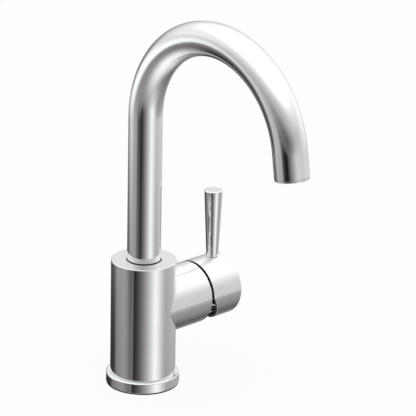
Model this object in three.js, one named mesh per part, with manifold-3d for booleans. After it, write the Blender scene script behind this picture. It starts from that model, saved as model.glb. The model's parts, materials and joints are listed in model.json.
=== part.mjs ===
// A single-lever gooseneck bar faucet for one hole in a deck, with a ceramic-disc cartridge.
//
// Millimetres, +Z up. The origin is on the body's axis, on the deck surface that the gasket rests on.
// The spout reaches towards -Y and the lever stands on the +X side. Pieces of the side valve are drawn
// around the valve's own axis, which runs along X, and their group lifts them to its height.

import * as THREE from 'three';
import { mergeVertices } from 'three/addons/utils/BufferGeometryUtils.js';
import Module from 'manifold-3d';

// ---------------------------------------------------------------- driving dimensions

// Clearances
const fitGap = 0.3; // between faces of pieces that stay put
const runGap = 0.4; // between faces of pieces that move past each other
const sealGap = 0.15; // round a seal or a bearing ring in its groove
const cutMargin = 1; // how far a cutting shape reaches past the face that it cuts

// Inlets and the shank that clamps the faucet to its deck
const nippleCollarWidth = 9.5; // across the flats of an inlet nipple's collar
const nippleCollarHeight = 4;
const nippleDiameter = 8;
const nippleThreadLength = 7;
const nippleTailLength = 8;
const inletWeb = 2; // between the corners of the two collars
const inletClearance = 0.54; // from a collar's corner to the shank's bore
const shankWall = 3;
const shankEngagement = 17; // screwed into the body
const shankTail = 16; // below the locknut
const deckThickness = 30; // the deck that the clamp is set for
const rubberWasherWidth = 9.2; // the clamp's rings, measured from their bore outwards
const rubberWasherThickness = 3;
const steelWasherWidth = 8.2;
const steelWasherThickness = 2;
const locknutWall = 4.7; // at the middle of a flat
const locknutHeight = 9;

// Base
const gasketThickness = 1.2;
const gasketInset = 0.3;
const ringHeight = 8;
const ringOverhang = 3.1; // the ring beyond the body
const ringEdgeRadius = 1.2;
const footDepth = 4; // the body's foot, sunk in the ring
const footWall = 5.8;

// Body
const bodyWall = 8.85; // round the shank
const bodyEdgeRadius = 0.6;
const portBlockHeight = 20; // metal between the shank's bore and the valve chamber
const shoulderHeight = 14.9; // body above the side stub
const stubWall = 4.7; // round the cartridge nut
const stubEdgeRadius = 0.8;
const seatWall = 2.9; // metal between the spout's socket and the valve seat

// Spout
const tubeDiameter = 25.4;
const tubeWall = 1.3;
const socketClearance = 0.5;
const tubeInsertion = 7; // tube below the body's top
const spoutRise = 112.2; // from the body's top to the centre of the bend
const bendRadius = 75.1;
const bendSweep = 171.8; // degrees
const tailLength = 17.5; // straight tube after the bend
const spigotLap = 12; // spigot inside the tube
const spigotWall = 4.5;
const grooveDepth = 2;
const grooveWidth = 2.4;
const socketSump = 3; // open space between the outlet port and the spigot
const portFloor = 1; // socket floor below the outlet port
const screwDiameter = 4;
const screwTipDiameter = 2;
const screwSetback = 1; // the retaining screw's head below the body's surface

// Aerator
const aeratorRimHeight = 1.5;
const aeratorRimEdge = 0.4;
const aeratorThreadLength = 8;
const aeratorWall = 1.7;
const aeratorLedge = 1;
const aeratorGasketThickness = 1.2;
const screenThickness = 1.3;
const screenCellPitch = 3;
const screenBar = 0.6;
const regulatorHeight = 3;
const regulatorHoleDiameter = 1.6;
const regulatorHoles = 10;

// Cartridge
const cartridgeDiameter = 35;
const housingWall = 2.3;
const neckWall = 1.7;
const baseFlangeThickness = 2;
const baseSpigotThickness = 2.3;
const portCircleRadius = 6.5;
const portDiameter = 5.2;
const portSealInset = 0.7; // from a port's edge to its seal
const portSealWidth = 1.4;
const portSealThickness = 1.2;
const pegDiameter = 4;
const pegLength = 2.5;
const pegInset = 4.5; // peg's axis from the cartridge's edge
const fixedDiscInset = 1.7; // round the fixed disc
const fixedDiscThickness = 3.5;
const movingDiscMargin = 1.3; // of the moving disc round the ports
const movingDiscThickness = 4;
const mixingPocketDepth = 2;
const carrierThickness = 5.8;
const pocketFloor = 0.9;
const turretFlangeThickness = 1.9;
const turretFlangeWidth = 2.9;
const shoulderWall = 1.7; // of the housing, outside the turret's flange
const pivotDistance = 6.7; // from the turret's inner end to the pin
const pinDiameter = 3;
const pinInset = 1; // the pin's end below the turret's surface
const pinCover = 1; // of the housing's neck, past the pin
const stemWidth = 8;
const stemNeckDiameter = 3.4;
const stemBallDiameter = 5.2;
const stemShoulder = 2; // square stem on the inner side of the pin's hole
const nutLip = 1.5; // the nut beyond the cartridge
const nutHeight = 6;
const nutNotchWidth = 4;
const nutNotchDepth = 2;
const bonnetSkirt = 3.5;
const bonnetWall = 1.6;
const bonnetBulge = 1; // the dome beyond its skirt
const bonnetMargin = 4; // degrees left free round the handle's boss

// Handle
const liftRange = 25; // degrees of lever travel from shut to full flow
const handleGap = 1.9; // seen between the stub and the hub
const hubLength = 29;
const hubWall = 2.2;
const hubEndWall = 2.5;
const hubEdgeRadius = 1;
const hubRimEdge = 0.3;
const reliefAngle = 26.5; // degrees, of the hub's lower rim
const reliefRise = 1; // where the relief starts, above the axis
const bossLength = 20.3; // from the hub's end face inwards
const bossWall = 3.7; // at the middle of the stem's flat
const stemEndCover = 3.5;
const leverInset = 9.25; // lever's axis from the hub's end face
const leverBaseDiameter = 9.0;
const leverTopDiameter = 14.0;
const leverLength = 54.4;
const leverEdgeRadius = 0.7;
const leverSinkDepth = 1.1;
const leverStudDiameter = 6;
const leverStudLength = 11;
const leverBossWall = 2.2;
const gripScrewDiameter = 5;
const gripScrewLength = 6;
const gripScrewInset = 8; // from the boss's inner end

// Facets
const chordLength = 3.4; // of a round face's sides
const fewestSides = 12;
const edgeSteps = 2; // sides of a rounded edge
const domeSteps = 4; // sides of the bonnet's dome and of the stem's ball
const bendSteps = 32; // stations along the spout tube
const tubeSides = 24;

// ---------------------------------------------------------------- sizes worked out from them

const radians = THREE.MathUtils.degToRad;

const nippleRadius = nippleDiameter / 2;
const collarCorner = nippleCollarWidth / 2 / Math.cos(Math.PI / 6);
const inletOffset = collarCorner + inletWeb / 2;
const shankBore = inletOffset + collarCorner + inletClearance;
const shankRadius = shankBore + shankWall;
const shankHole = shankRadius + fitGap;

const bodyRadius = shankHole + bodyWall;
const ringRadius = bodyRadius + ringOverhang;
const footRadius = shankHole + footWall;
const ringTop = gasketThickness + ringHeight;
const footBottom = ringTop - footDepth;
const shankTop = footBottom + shankEngagement;
const shankHoleTop = shankTop + fitGap;

const cartridgeRadius = cartridgeDiameter / 2;
const chamberRadius = cartridgeRadius + fitGap;
const nutRadius = cartridgeRadius + nutLip;
const nutHole = nutRadius + fitGap;
const stubRadius = nutHole + stubWall;
const valveHeight = shankHoleTop + portBlockHeight + chamberRadius;
const bodyTop = valveHeight + stubRadius + shoulderHeight;

const tubeRadius = tubeDiameter / 2;
const tubeBore = tubeRadius - tubeWall;
const socketRadius = tubeRadius + socketClearance;
const portRadius = portDiameter / 2;
const outletPortHeight = valveHeight + portCircleRadius;
const socketBottom = outletPortHeight - portRadius - portFloor;
const spigotBottom = outletPortHeight + portRadius + socketSump;
const tubeStart = bodyTop - tubeInsertion;
const spigotShoulder = tubeStart - fitGap;
const grooveRadius = tubeRadius - grooveDepth;

// Stations along the valve's axis, as distances from the body's axis
const seat = socketRadius + seatWall;
const baseStart = seat + fitGap;
const baseFlangeEnd = baseStart + baseFlangeThickness;
const baseEnd = baseFlangeEnd + baseSpigotThickness;
const fixedDiscStart = baseEnd + fitGap;
const movingDiscStart = fixedDiscStart + fixedDiscThickness + fitGap;
const carrierStart = movingDiscStart + movingDiscThickness + fitGap;
const turretStart = carrierStart + carrierThickness + runGap;
const turretFlangeEnd = turretStart + turretFlangeThickness;
const pivot = turretStart + pivotDistance;
const housingStart = baseFlangeEnd + fitGap;
const housingShoulder = turretFlangeEnd + runGap;
const housingShoulderEnd = housingShoulder + shoulderWall;
const nutStart = housingShoulderEnd + fitGap;
const nutEnd = nutStart + nutHeight;
const bonnetStart = nutEnd + fitGap;
const stubEnd = bonnetStart + bonnetSkirt;
const turretEnd = stubEnd;
const hubStart = stubEnd + handleGap;
const hubEnd = hubStart + hubLength;
const bossStart = hubEnd - bossLength;
const stemEnd = hubEnd - hubEndWall - stemEndCover;
const leverDistance = hubEnd - leverInset;

const housingBore = cartridgeRadius - housingWall;
const turretRadius = housingBore - fitGap - turretFlangeWidth;
const neckBore = turretRadius + fitGap;
const neckRadius = neckBore + neckWall;
const neckEnd = pivot + pinDiameter / 2 + pinCover;
const ballRadius = stemBallDiameter / 2;
const pocketStart = carrierStart + pocketFloor;
const ballDistance = pocketStart + fitGap + ballRadius;
const movingDiscRadius = portCircleRadius + portRadius + movingDiscMargin;
const stemHalf = stemWidth / 2;
const stemSquareStart = pivot - pinDiameter / 2 - stemShoulder;

const hubBore = stubRadius - hubWall;
const bossRadius = stemHalf + fitGap + bossWall;
const bonnetRadius = nutRadius + bonnetBulge;

// ---------------------------------------------------------------- finishes

/** A finish from its colour, roughness and metalness. */
function finish(color, roughness, metalness) {
  return new THREE.MeshStandardMaterial({ color, roughness, metalness });
}

const chrome = finish(0xdfe2e4, 0.05, 1);
const brass = finish(0xb9975b, 0.35, 1);
const steel = finish(0xb8bbbd, 0.35, 1);
const rubber = finish(0x161617, 0.75, 0);
const ceramic = finish(0xf0eee8, 0.25, 0);
const whitePlastic = finish(0xe4e4e0, 0.45, 0);
const greyPlastic = finish(0x6c7075, 0.5, 0);
const blackPlastic = finish(0x121213, 0.35, 0);

// ---------------------------------------------------------------- shapes

const wasm = await Module();
wasm.setup();

/** A closed geometry as a solid that can be joined and cut. */
function solid(geometry) {
  geometry.deleteAttribute('normal');
  geometry.deleteAttribute('uv');
  const merged = mergeVertices(geometry);
  const vertProperties = merged.attributes.position.array;
  const triVerts = Uint32Array.from(merged.index.array);
  return new wasm.Manifold(new wasm.Mesh({ numProp: 3, vertProperties, triVerts }));
}

/** The geometry of a solid. */
function geometryOf(shape) {
  const { vertProperties, triVerts } = shape.getMesh();
  const geometry = new THREE.BufferGeometry();
  geometry.setAttribute('position', new THREE.BufferAttribute(vertProperties, 3));
  geometry.setIndex(new THREE.BufferAttribute(triVerts, 1));
  geometry.computeVertexNormals();
  return geometry;
}

/** How many sides a round face of this radius has. */
function sidesFor(radius) {
  return Math.max(fewestSides, 4 * Math.round((Math.PI * radius) / (2 * chordLength)));
}

/** A profile of [radius, height] points turned about Z. It closes on itself or lies on the axis. */
function turned(profile) {
  const points = profile.map(([radius, height]) => new THREE.Vector2(radius, height));
  if (THREE.ShapeUtils.area(points) < 0) points.reverse();
  const onAxis = points[0].x === 0 && points.at(-1).x === 0;
  if (!onAxis) points.push(points[0]);
  const widest = Math.max(...points.map((point) => point.x));
  return solid(new THREE.LatheGeometry(points, sidesFor(widest)).rotateX(Math.PI / 2));
}

/** A plain round bar along Z. */
function bar(radius, from, to) {
  return turned([[0, from], [radius, from], [radius, to], [0, to]]);
}

/** A plain ring about Z. */
function ring(bore, radius, from, to) {
  return turned([[bore, from], [radius, from], [radius, to], [bore, to]]);
}

/** Profile points of a quarter round, centred on [radius, height], from one angle to another. */
function arc(radius, height, size, from, to, steps = edgeSteps) {
  return Array.from({ length: steps + 1 }, (_, step) => {
    const angle = radians(from + ((to - from) * step) / steps);
    return [radius + size * Math.cos(angle), height + size * Math.sin(angle)];
  });
}

/** A round-edged ring that fills a groove, as an O-ring does. */
function sealRing(bore, radius, from, to) {
  const edge = Math.min(radius - bore, to - from) / 3;
  return turned([
    ...arc(radius - edge, from + edge, edge, -90, 0, 1),
    ...arc(radius - edge, to - edge, edge, 0, 90, 1),
    ...arc(bore + edge, to - edge, edge, 90, 180, 1),
    ...arc(bore + edge, from + edge, edge, 180, 270, 1),
  ]);
}

/** An outline of [x, y] points drawn out along Z. */
function drawnOut(outline, from, to) {
  const shape = new THREE.Shape(outline.map(([x, y]) => new THREE.Vector2(x, y)));
  const geometry = new THREE.ExtrudeGeometry(shape, { depth: to - from, bevelEnabled: false });
  return solid(geometry.translate(0, 0, from));
}

/** A rectangular bar along Z, centred on it. */
function block(width, depth, from, to) {
  const x = width / 2;
  const y = depth / 2;
  return drawnOut([[-x, -y], [x, -y], [x, y], [-x, y]], from, to);
}

/** The corners of a hexagon that is this wide across its flats, two of which face along Y. */
function hexagon(width) {
  return Array.from({ length: 6 }, (_, corner) => {
    const angle = (corner * Math.PI) / 3;
    const reach = width / 2 / Math.cos(Math.PI / 6);
    return [reach * Math.cos(angle), reach * Math.sin(angle)];
  });
}

/** Turns a shape that was drawn along Z so that it lies along X. */
function alongX(shape) {
  return shape.rotate([0, 90, 0]);
}

/** Turns a shape that was drawn along Z so that it lies along Y. */
function alongY(shape) {
  return shape.rotate([-90, 0, 0]);
}

/** One shape with all the others cut out of it. */
function cut(shape, ...tools) {
  return tools.reduce((left, tool) => left.subtract(tool), shape);
}

/** All the shapes as one. */
function joined(...shapes) {
  return shapes.reduce((left, right) => left.add(right));
}

/** Adds a named piece to a group. */
function addPiece(group, name, material, shape) {
  const mesh = new THREE.Mesh(geometryOf(shape), material);
  mesh.name = name;
  group.add(mesh);
}

// ---------------------------------------------------------------- base and deck clamp

const faucet = new THREE.Group();

/** The gasket, the ring that the body stands in, and the clamp under the deck. */
function addBase(group) {
  addPiece(group, 'base_gasket', rubber, ring(shankHole, ringRadius - gasketInset, 0, gasketThickness));

  const ledge = footBottom - fitGap;
  addPiece(group, 'base_ring', chrome, turned([
    [shankHole, gasketThickness],
    [ringRadius, gasketThickness],
    ...arc(ringRadius - ringEdgeRadius, ringTop - ringEdgeRadius, ringEdgeRadius, 0, 90),
    [footRadius + fitGap, ringTop],
    [footRadius + fitGap, ledge],
    [shankHole, ledge],
  ]));

  const rubberBottom = -deckThickness - rubberWasherThickness;
  const steelBottom = rubberBottom - steelWasherThickness;
  const nutBottom = steelBottom - locknutHeight;
  addPiece(group, 'mounting_shank', brass, ring(shankBore, shankRadius, nutBottom - shankTail, shankTop));
  addPiece(group, 'deck_rubber_washer', rubber,
    ring(shankHole, shankHole + rubberWasherWidth, rubberBottom, -deckThickness));
  addPiece(group, 'deck_steel_washer', steel,
    ring(shankHole, shankHole + steelWasherWidth, steelBottom, rubberBottom));
  const hex = drawnOut(hexagon(2 * (shankHole + locknutWall)), nutBottom, steelBottom);
  addPiece(group, 'mounting_locknut', brass,
    cut(hex, bar(shankHole, nutBottom - cutMargin, steelBottom + cutMargin)));
}

/** An inlet nipple, screwed up into the body inside the shank. */
function inletNipple() {
  const collarTop = shankHoleTop - fitGap;
  const collarBottom = collarTop - nippleCollarHeight;
  const tailBottom = collarBottom - nippleTailLength;
  const threadTop = shankHoleTop + nippleThreadLength - fitGap;
  const outside = joined(
    bar(nippleRadius, tailBottom, threadTop),
    drawnOut(hexagon(nippleCollarWidth), collarBottom, collarTop),
  );
  return cut(outside, bar(portRadius, tailBottom - cutMargin, threadTop + cutMargin));
}

/** The hot and the cold nipple. */
function addInlets(group) {
  addPiece(group, 'hot_inlet_nipple', brass, inletNipple().translate([0, inletOffset, 0]));
  addPiece(group, 'cold_inlet_nipple', brass, inletNipple().translate([0, -inletOffset, 0]));
}

// ---------------------------------------------------------------- body

/** The places [y, z] of the valve's three ports round its own axis: outlet, hot and cold. */
const portPlaces = [90, -30, 210].map((angle) => [
  portCircleRadius * Math.cos(radians(angle)),
  portCircleRadius * Math.sin(radians(angle)),
]);
const [outletPort, ...inletPorts] = portPlaces;

/** Where the pegs that key the cartridge to the body stand, on either side of its axis. */
const pegPlaces = [-1, 1].map((side) => side * (cartridgeRadius - pegInset));

/** Heights along the spigot of its grooves, from the lowest up, and of the retaining screw. */
const groovePitch = (spigotShoulder - spigotBottom) / 5;
const grooveHeight = (index) => spigotBottom + (index + 0.5) * groovePitch;
const [lowerBearing, lowerSeal, upperSeal, screwHeight, upperBearing] = [0, 1, 2, 3, 4].map(grooveHeight);

/** The casting: foot, pillar and side stub, with its sockets and waterways. */
function addBody(group) {
  const pillar = turned([
    [0, footBottom],
    [footRadius, footBottom],
    [footRadius, ringTop],
    [bodyRadius, ringTop],
    ...arc(bodyRadius - bodyEdgeRadius, bodyTop - bodyEdgeRadius, bodyEdgeRadius, 0, 90),
    [0, bodyTop],
  ]);
  const stub = turned([
    [0, 0],
    [stubRadius, 0],
    ...arc(stubRadius - stubEdgeRadius, stubEnd - stubEdgeRadius, stubEdgeRadius, 0, 90),
    [0, stubEnd],
  ]);
  const inValve = (shape) => alongX(shape).translate([0, 0, valveHeight]);
  const portBore = ([y, z], from, to) => (
    alongX(bar(portRadius, from, to)).translate([0, y, valveHeight + z])
  );
  const risers = [-1, 1].map((side) => joined(
    bar(portRadius, shankHoleTop, valveHeight + inletPorts[0][1]),
    bar(nippleRadius + fitGap, shankHoleTop - cutMargin, shankHoleTop + nippleThreadLength),
  ).translate([0, side * inletOffset, 0]));

  addPiece(group, 'faucet_body', chrome, cut(
    joined(pillar, inValve(stub)),
    bar(shankHole, footBottom - cutMargin, shankHoleTop),
    bar(socketRadius, socketBottom, bodyTop + cutMargin),
    inValve(bar(chamberRadius, seat, stubEnd + cutMargin)),
    inValve(bar(nutHole, housingShoulderEnd, stubEnd + cutMargin)),
    portBore(outletPort, 0, seat + cutMargin),
    ...inletPorts.map((place) => portBore(place, -portRadius, seat + cutMargin)),
    ...pegPlaces.map((y) => alongX(
      bar(pegDiameter / 2 + fitGap, baseStart - pegLength - fitGap, seat + cutMargin),
    ).translate([0, y, valveHeight])),
    ...risers,
    alongY(bar(screwDiameter / 2 + fitGap, tubeRadius, bodyRadius + cutMargin))
      .translate([0, 0, screwHeight]),
  ));
}

// ---------------------------------------------------------------- spout

/** The tube's centre line: up from the socket, over the bend and down the tail. */
function spoutPath() {
  const bendHeight = bodyTop + spoutRise;
  const sweep = radians(bendSweep);
  const start = new THREE.Vector3(0, 0, tubeStart);
  const bendStart = new THREE.Vector3(0, 0, bendHeight);
  const onBend = (angle) => new THREE.Vector3(
    0,
    bendRadius * (Math.cos(angle) - 1),
    bendHeight + bendRadius * Math.sin(angle),
  );
  const flow = new THREE.Vector3(0, -Math.sin(sweep), Math.cos(sweep));
  const bendEnd = onBend(sweep);
  const tailEnd = bendEnd.clone().addScaledVector(flow, tailLength);

  class Bend extends THREE.Curve {
    getPoint(t, target = new THREE.Vector3()) {
      return target.copy(onBend(t * sweep));
    }
  }

  const path = new THREE.CurvePath();
  path.add(new THREE.LineCurve3(start, bendStart));
  path.add(new Bend());
  path.add(new THREE.LineCurve3(bendEnd, tailEnd));
  return { path, tailEnd, flow };
}

const spout = spoutPath();

/** The bent tube. */
function spoutTube() {
  const section = new THREE.Shape().absarc(0, 0, tubeRadius, 0, 2 * Math.PI, false);
  section.holes.push(new THREE.Path().absarc(0, 0, tubeBore, 0, 2 * Math.PI, true));
  return solid(new THREE.ExtrudeGeometry(section, {
    steps: bendSteps,
    curveSegments: tubeSides / 2,
    bevelEnabled: false,
    extrudePath: spout.path,
  }));
}

/** The spigot brazed into the tube's foot, with the seals and bearing rings that it turns on. */
function addSpoutFoot(group) {
  const lapRadius = tubeBore - fitGap;
  const bore = tubeRadius - spigotWall;
  const outside = turned([
    [bore, spigotBottom],
    [tubeRadius, spigotBottom],
    [tubeRadius, spigotShoulder],
    [lapRadius, spigotShoulder],
    [lapRadius, spigotShoulder + spigotLap],
    [bore, spigotShoulder + spigotLap],
  ]);
  const groove = (height) => ring(
    grooveRadius, tubeRadius + cutMargin, height - grooveWidth / 2, height + grooveWidth / 2,
  );
  const heights = [lowerBearing, lowerSeal, upperSeal, screwHeight, upperBearing];
  addPiece(group, 'spout_spigot', brass, cut(outside, ...heights.map(groove)));

  const half = grooveWidth / 2 - sealGap;
  const inner = grooveRadius + sealGap;
  const outer = socketRadius - sealGap;
  const seals = { spout_seal_lower: lowerSeal, spout_seal_upper: upperSeal };
  for (const [name, height] of Object.entries(seals)) {
    addPiece(group, name, rubber, sealRing(inner, outer, height - half, height + half));
  }
  const bearings = { spout_bearing_lower: lowerBearing, spout_bearing_upper: upperBearing };
  for (const [name, height] of Object.entries(bearings)) {
    addPiece(group, name, whitePlastic, ring(inner, outer, height - half, height + half));
  }
}

/** The screw at the body's back whose tip runs in the spigot's groove and keeps the spout in. */
function addRetainingScrew(group) {
  const tip = bar(screwTipDiameter / 2, grooveRadius + runGap, socketRadius + fitGap);
  const thread = bar(screwDiameter / 2, socketRadius + fitGap, bodyRadius - screwSetback);
  const socket = drawnOut(
    hexagon(screwDiameter / 2), bodyRadius - screwSetback - screwDiameter / 2, bodyRadius,
  );
  addPiece(group, 'spout_retaining_screw', steel,
    alongY(cut(joined(tip, thread), socket)).translate([0, 0, screwHeight]));
}

/** The honeycomb of openings in the aerator's screen, kept inside a radius. */
function screenCells(radius, from, to) {
  const cell = drawnOut(hexagon(screenCellPitch - screenBar), from, to);
  const rowPitch = screenCellPitch * Math.cos(Math.PI / 6);
  const rows = Math.floor(radius / rowPitch);
  const cells = [];
  for (let row = -rows; row <= rows; row += 1) {
    for (let column = -rows - 1; column <= rows + 1; column += 1) {
      const y = (column + (row % 2 ? 0.5 : 0)) * screenCellPitch;
      const x = row * rowPitch;
      if (Math.hypot(x, y) + screenCellPitch / 2 < radius) cells.push(cell.translate([x, y, 0]));
    }
  }
  return cells;
}

/** The aerator, drawn with the outlet's face at zero height and the tube above it. */
function addAerator(group) {
  const threadTop = aeratorRimHeight + aeratorThreadLength;
  const threadRadius = tubeBore - fitGap;
  const bore = threadRadius - aeratorWall;
  const mouth = bore - aeratorLedge;
  const ledge = aeratorRimHeight - fitGap;
  addPiece(group, 'aerator_housing', chrome, turned([
    [mouth, 0],
    ...arc(tubeRadius - aeratorRimEdge, aeratorRimEdge, aeratorRimEdge, -90, 0),
    [tubeRadius, aeratorRimHeight],
    [threadRadius, aeratorRimHeight],
    [threadRadius, threadTop],
    [bore, threadTop],
    [bore, ledge],
    [mouth, ledge],
  ]));

  const screenRadius = bore - fitGap;
  const screenBottom = ledge + fitGap;
  const screenTop = screenBottom + screenThickness;
  addPiece(group, 'aerator_screen', greyPlastic, cut(
    bar(screenRadius, screenBottom, screenTop),
    ...screenCells(mouth, screenBottom - cutMargin, screenTop + cutMargin),
  ));

  const regulatorTop = threadTop - fitGap;
  const regulatorBottom = regulatorTop - regulatorHeight;
  const hole = bar(regulatorHoleDiameter / 2, regulatorBottom - cutMargin, regulatorTop + cutMargin)
    .translate([(screenRadius + regulatorHoleDiameter) / 2, 0, 0]);
  const holes = Array.from({ length: regulatorHoles }, (_, index) => (
    hole.rotate([0, 0, (360 * index) / regulatorHoles])
  ));
  const skirt = ring(screenRadius - aeratorLedge, screenRadius, screenTop + fitGap, regulatorTop);
  addPiece(group, 'aerator_regulator', whitePlastic, cut(
    joined(skirt, bar(screenRadius - aeratorLedge / 2, regulatorBottom, regulatorTop)),
    ...holes,
  ));

  const gasketBottom = threadTop + fitGap;
  addPiece(group, 'aerator_gasket', rubber,
    ring(mouth, threadRadius, gasketBottom, gasketBottom + aeratorGasketThickness));
}

/** The whole spout. The aerator's group stands on the outlet and leans as the tail does. */
function addSpout(group) {
  addPiece(group, 'spout_tube', chrome, spoutTube());
  addSpoutFoot(group);
  const outlet = new THREE.Group();
  outlet.position.copy(spout.tailEnd).addScaledVector(spout.flow, fitGap + aeratorRimHeight);
  outlet.rotation.x = radians(bendSweep) - Math.PI;
  addAerator(outlet);
  group.add(outlet);
}

// ---------------------------------------------------------------- cartridge

/** A bar through each port of the valve. */
function portBars(radius, from, to) {
  return portPlaces.map(([y, z]) => alongX(bar(radius, from, to)).translate([0, y, z]));
}

/** The cartridge's base with its ports and pegs, and the three seals under it. */
function addCartridgeBase(group) {
  const sealBore = portRadius + portSealInset;
  const sealRadius = sealBore + portSealWidth;
  const grooveTop = seat + sealGap + portSealThickness + sealGap;
  const base = turned([
    [0, baseStart],
    [cartridgeRadius, baseStart],
    [cartridgeRadius, baseFlangeEnd],
    [housingBore - fitGap, baseFlangeEnd],
    [housingBore - fitGap, baseEnd],
    [0, baseEnd],
  ]);
  const grooves = portPlaces.map(([y, z]) => (
    alongX(ring(sealBore - sealGap, sealRadius + sealGap, seat, grooveTop)).translate([0, y, z])
  ));
  const pegs = pegPlaces.map((y) => (
    alongX(bar(pegDiameter / 2, baseStart - pegLength, baseStart + cutMargin)).translate([0, y, 0])
  ));
  const ports = portBars(portRadius, baseStart - cutMargin, baseEnd + cutMargin);
  addPiece(group, 'cartridge_base', greyPlastic, cut(joined(alongX(base), ...pegs), ...grooves, ...ports));

  ['outlet_port_seal', 'hot_port_seal', 'cold_port_seal'].forEach((name, index) => {
    const [y, z] = portPlaces[index];
    const from = seat + sealGap;
    const shape = sealRing(sealBore, sealRadius, from, from + portSealThickness);
    addPiece(group, name, rubber, alongX(shape).translate([0, y, z]));
  });
}

/** The two ceramic discs, and the carrier that the stem's ball pushes up and down. */
function addDiscs(group) {
  const fixedEnd = fixedDiscStart + fixedDiscThickness;
  addPiece(group, 'fixed_ceramic_disc', ceramic, cut(
    alongX(bar(housingBore - fixedDiscInset, fixedDiscStart, fixedEnd)),
    ...portBars(portRadius, fixedDiscStart - cutMargin, fixedEnd + cutMargin),
  ));

  const movingEnd = movingDiscStart + movingDiscThickness;
  const pocketWidth = movingDiscRadius - movingDiscMargin;
  const mixingPocket = block(
    portCircleRadius, pocketWidth, movingDiscStart - cutMargin, movingDiscStart + mixingPocketDepth,
  );
  addPiece(group, 'moving_ceramic_disc', ceramic,
    cut(alongX(bar(movingDiscRadius, movingDiscStart, movingEnd)), alongX(mixingPocket)));

  const carrierEnd = carrierStart + carrierThickness;
  addPiece(group, 'disc_carrier', greyPlastic, alongX(cut(
    bar(movingDiscRadius, carrierStart, carrierEnd),
    bar(ballRadius + fitGap, pocketStart, carrierEnd + cutMargin),
  )));
}

/** The cartridge's housing, stepped for the nut that holds it down. */
function addHousing(group) {
  addPiece(group, 'cartridge_housing', whitePlastic, alongX(turned([
    [housingBore, housingStart],
    [cartridgeRadius, housingStart],
    [cartridgeRadius, housingShoulderEnd],
    [neckRadius, housingShoulderEnd],
    [neckRadius, neckEnd],
    [neckBore, neckEnd],
    [neckBore, housingShoulder],
    [housingBore, housingShoulder],
  ])));
}

/** The turret that turns in the housing, with its seal and the pin that the stem swings on. */
function addTurret(group) {
  const lift = radians(liftRange);
  const halfAcross = stemHalf / Math.cos(lift) + runGap;
  const slotDown = halfAcross + (turretEnd - pivot) * Math.tan(lift);
  const slotUp = halfAcross + (pivot - stemSquareStart) * Math.tan(lift);
  const slotSide = stemHalf + fitGap;
  const slot = drawnOut(
    [[-slotUp, -slotSide], [slotDown, -slotSide], [slotDown, slotSide], [-slotUp, slotSide]],
    turretStart - cutMargin, turretEnd + cutMargin,
  );
  const grooveFrom = housingShoulder + sealGap;
  const grooveTo = grooveFrom + grooveWidth;
  const grooveFloor = turretRadius - grooveDepth / 2;
  const outside = turned([
    [0, turretStart],
    [housingBore - fitGap, turretStart],
    [housingBore - fitGap, turretFlangeEnd],
    [turretRadius, turretFlangeEnd],
    [turretRadius, grooveFrom],
    [grooveFloor, grooveFrom],
    [grooveFloor, grooveTo],
    [turretRadius, grooveTo],
    [turretRadius, turretEnd],
    [0, turretEnd],
  ]);
  const pinHole = alongY(bar(pinDiameter / 2 + fitGap, -turretRadius - cutMargin, turretRadius + cutMargin));
  addPiece(group, 'turret', greyPlastic, cut(alongX(cut(outside, slot)), pinHole.translate([pivot, 0, 0])));

  const sealShape = sealRing(
    grooveFloor + sealGap, neckBore - sealGap, grooveFrom + sealGap, grooveTo - sealGap,
  );
  addPiece(group, 'turret_seal', rubber, alongX(sealShape));

  const pinHalf = turretRadius - pinInset;
  addPiece(group, 'stem_pivot_pin', steel,
    alongY(bar(pinDiameter / 2, -pinHalf, pinHalf)).translate([pivot, 0, 0]));
}

/** The stem: ball, neck and the square bar that the handle grips. */
function addStem(group) {
  const ball = turned([
    [0, ballDistance - ballRadius],
    ...arc(0, ballDistance, ballRadius, -90, 90, 2 * domeSteps).slice(1, -1),
    [0, ballDistance + ballRadius],
  ]);
  const neck = bar(stemNeckDiameter / 2, ballDistance, stemSquareStart + cutMargin);
  const square = block(stemWidth, stemWidth, stemSquareStart, stemEnd);
  const pinHole = alongY(bar(pinDiameter / 2 + fitGap, -stemWidth, stemWidth));
  addPiece(group, 'stem', brass, cut(alongX(joined(ball, neck, square)), pinHole.translate([pivot, 0, 0])));
}

/** The notched nut over the cartridge, and the domed bonnet that covers it. */
function addRetainer(group) {
  const notch = block(nutNotchWidth, 2 * (nutRadius + cutMargin), nutEnd - nutNotchDepth, nutEnd + cutMargin);
  addPiece(group, 'cartridge_nut', brass, alongX(
    cut(ring(neckRadius + fitGap, nutRadius, nutStart, nutEnd), notch, notch.rotate([0, 0, 90])),
  ));

  const domeInside = bonnetRadius - bonnetWall;
  const skirtInside = nutRadius - bonnetWall;
  const bossSwing = Math.atan2(bossRadius, bossStart - pivot) + radians(liftRange + bonnetMargin);
  const opening = 90 - THREE.MathUtils.radToDeg(bossSwing);
  const outerFoot = THREE.MathUtils.radToDeg(Math.acos(nutRadius / bonnetRadius));
  const innerFoot = THREE.MathUtils.radToDeg(Math.acos(skirtInside / domeInside));
  addPiece(group, 'cartridge_bonnet', blackPlastic, alongX(turned([
    [skirtInside, bonnetStart],
    [nutRadius, bonnetStart],
    ...arc(0, pivot, bonnetRadius, outerFoot, opening, domeSteps),
    ...arc(0, pivot, domeInside, opening, innerFoot, domeSteps),
  ])));
}

// ---------------------------------------------------------------- handle

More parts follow.
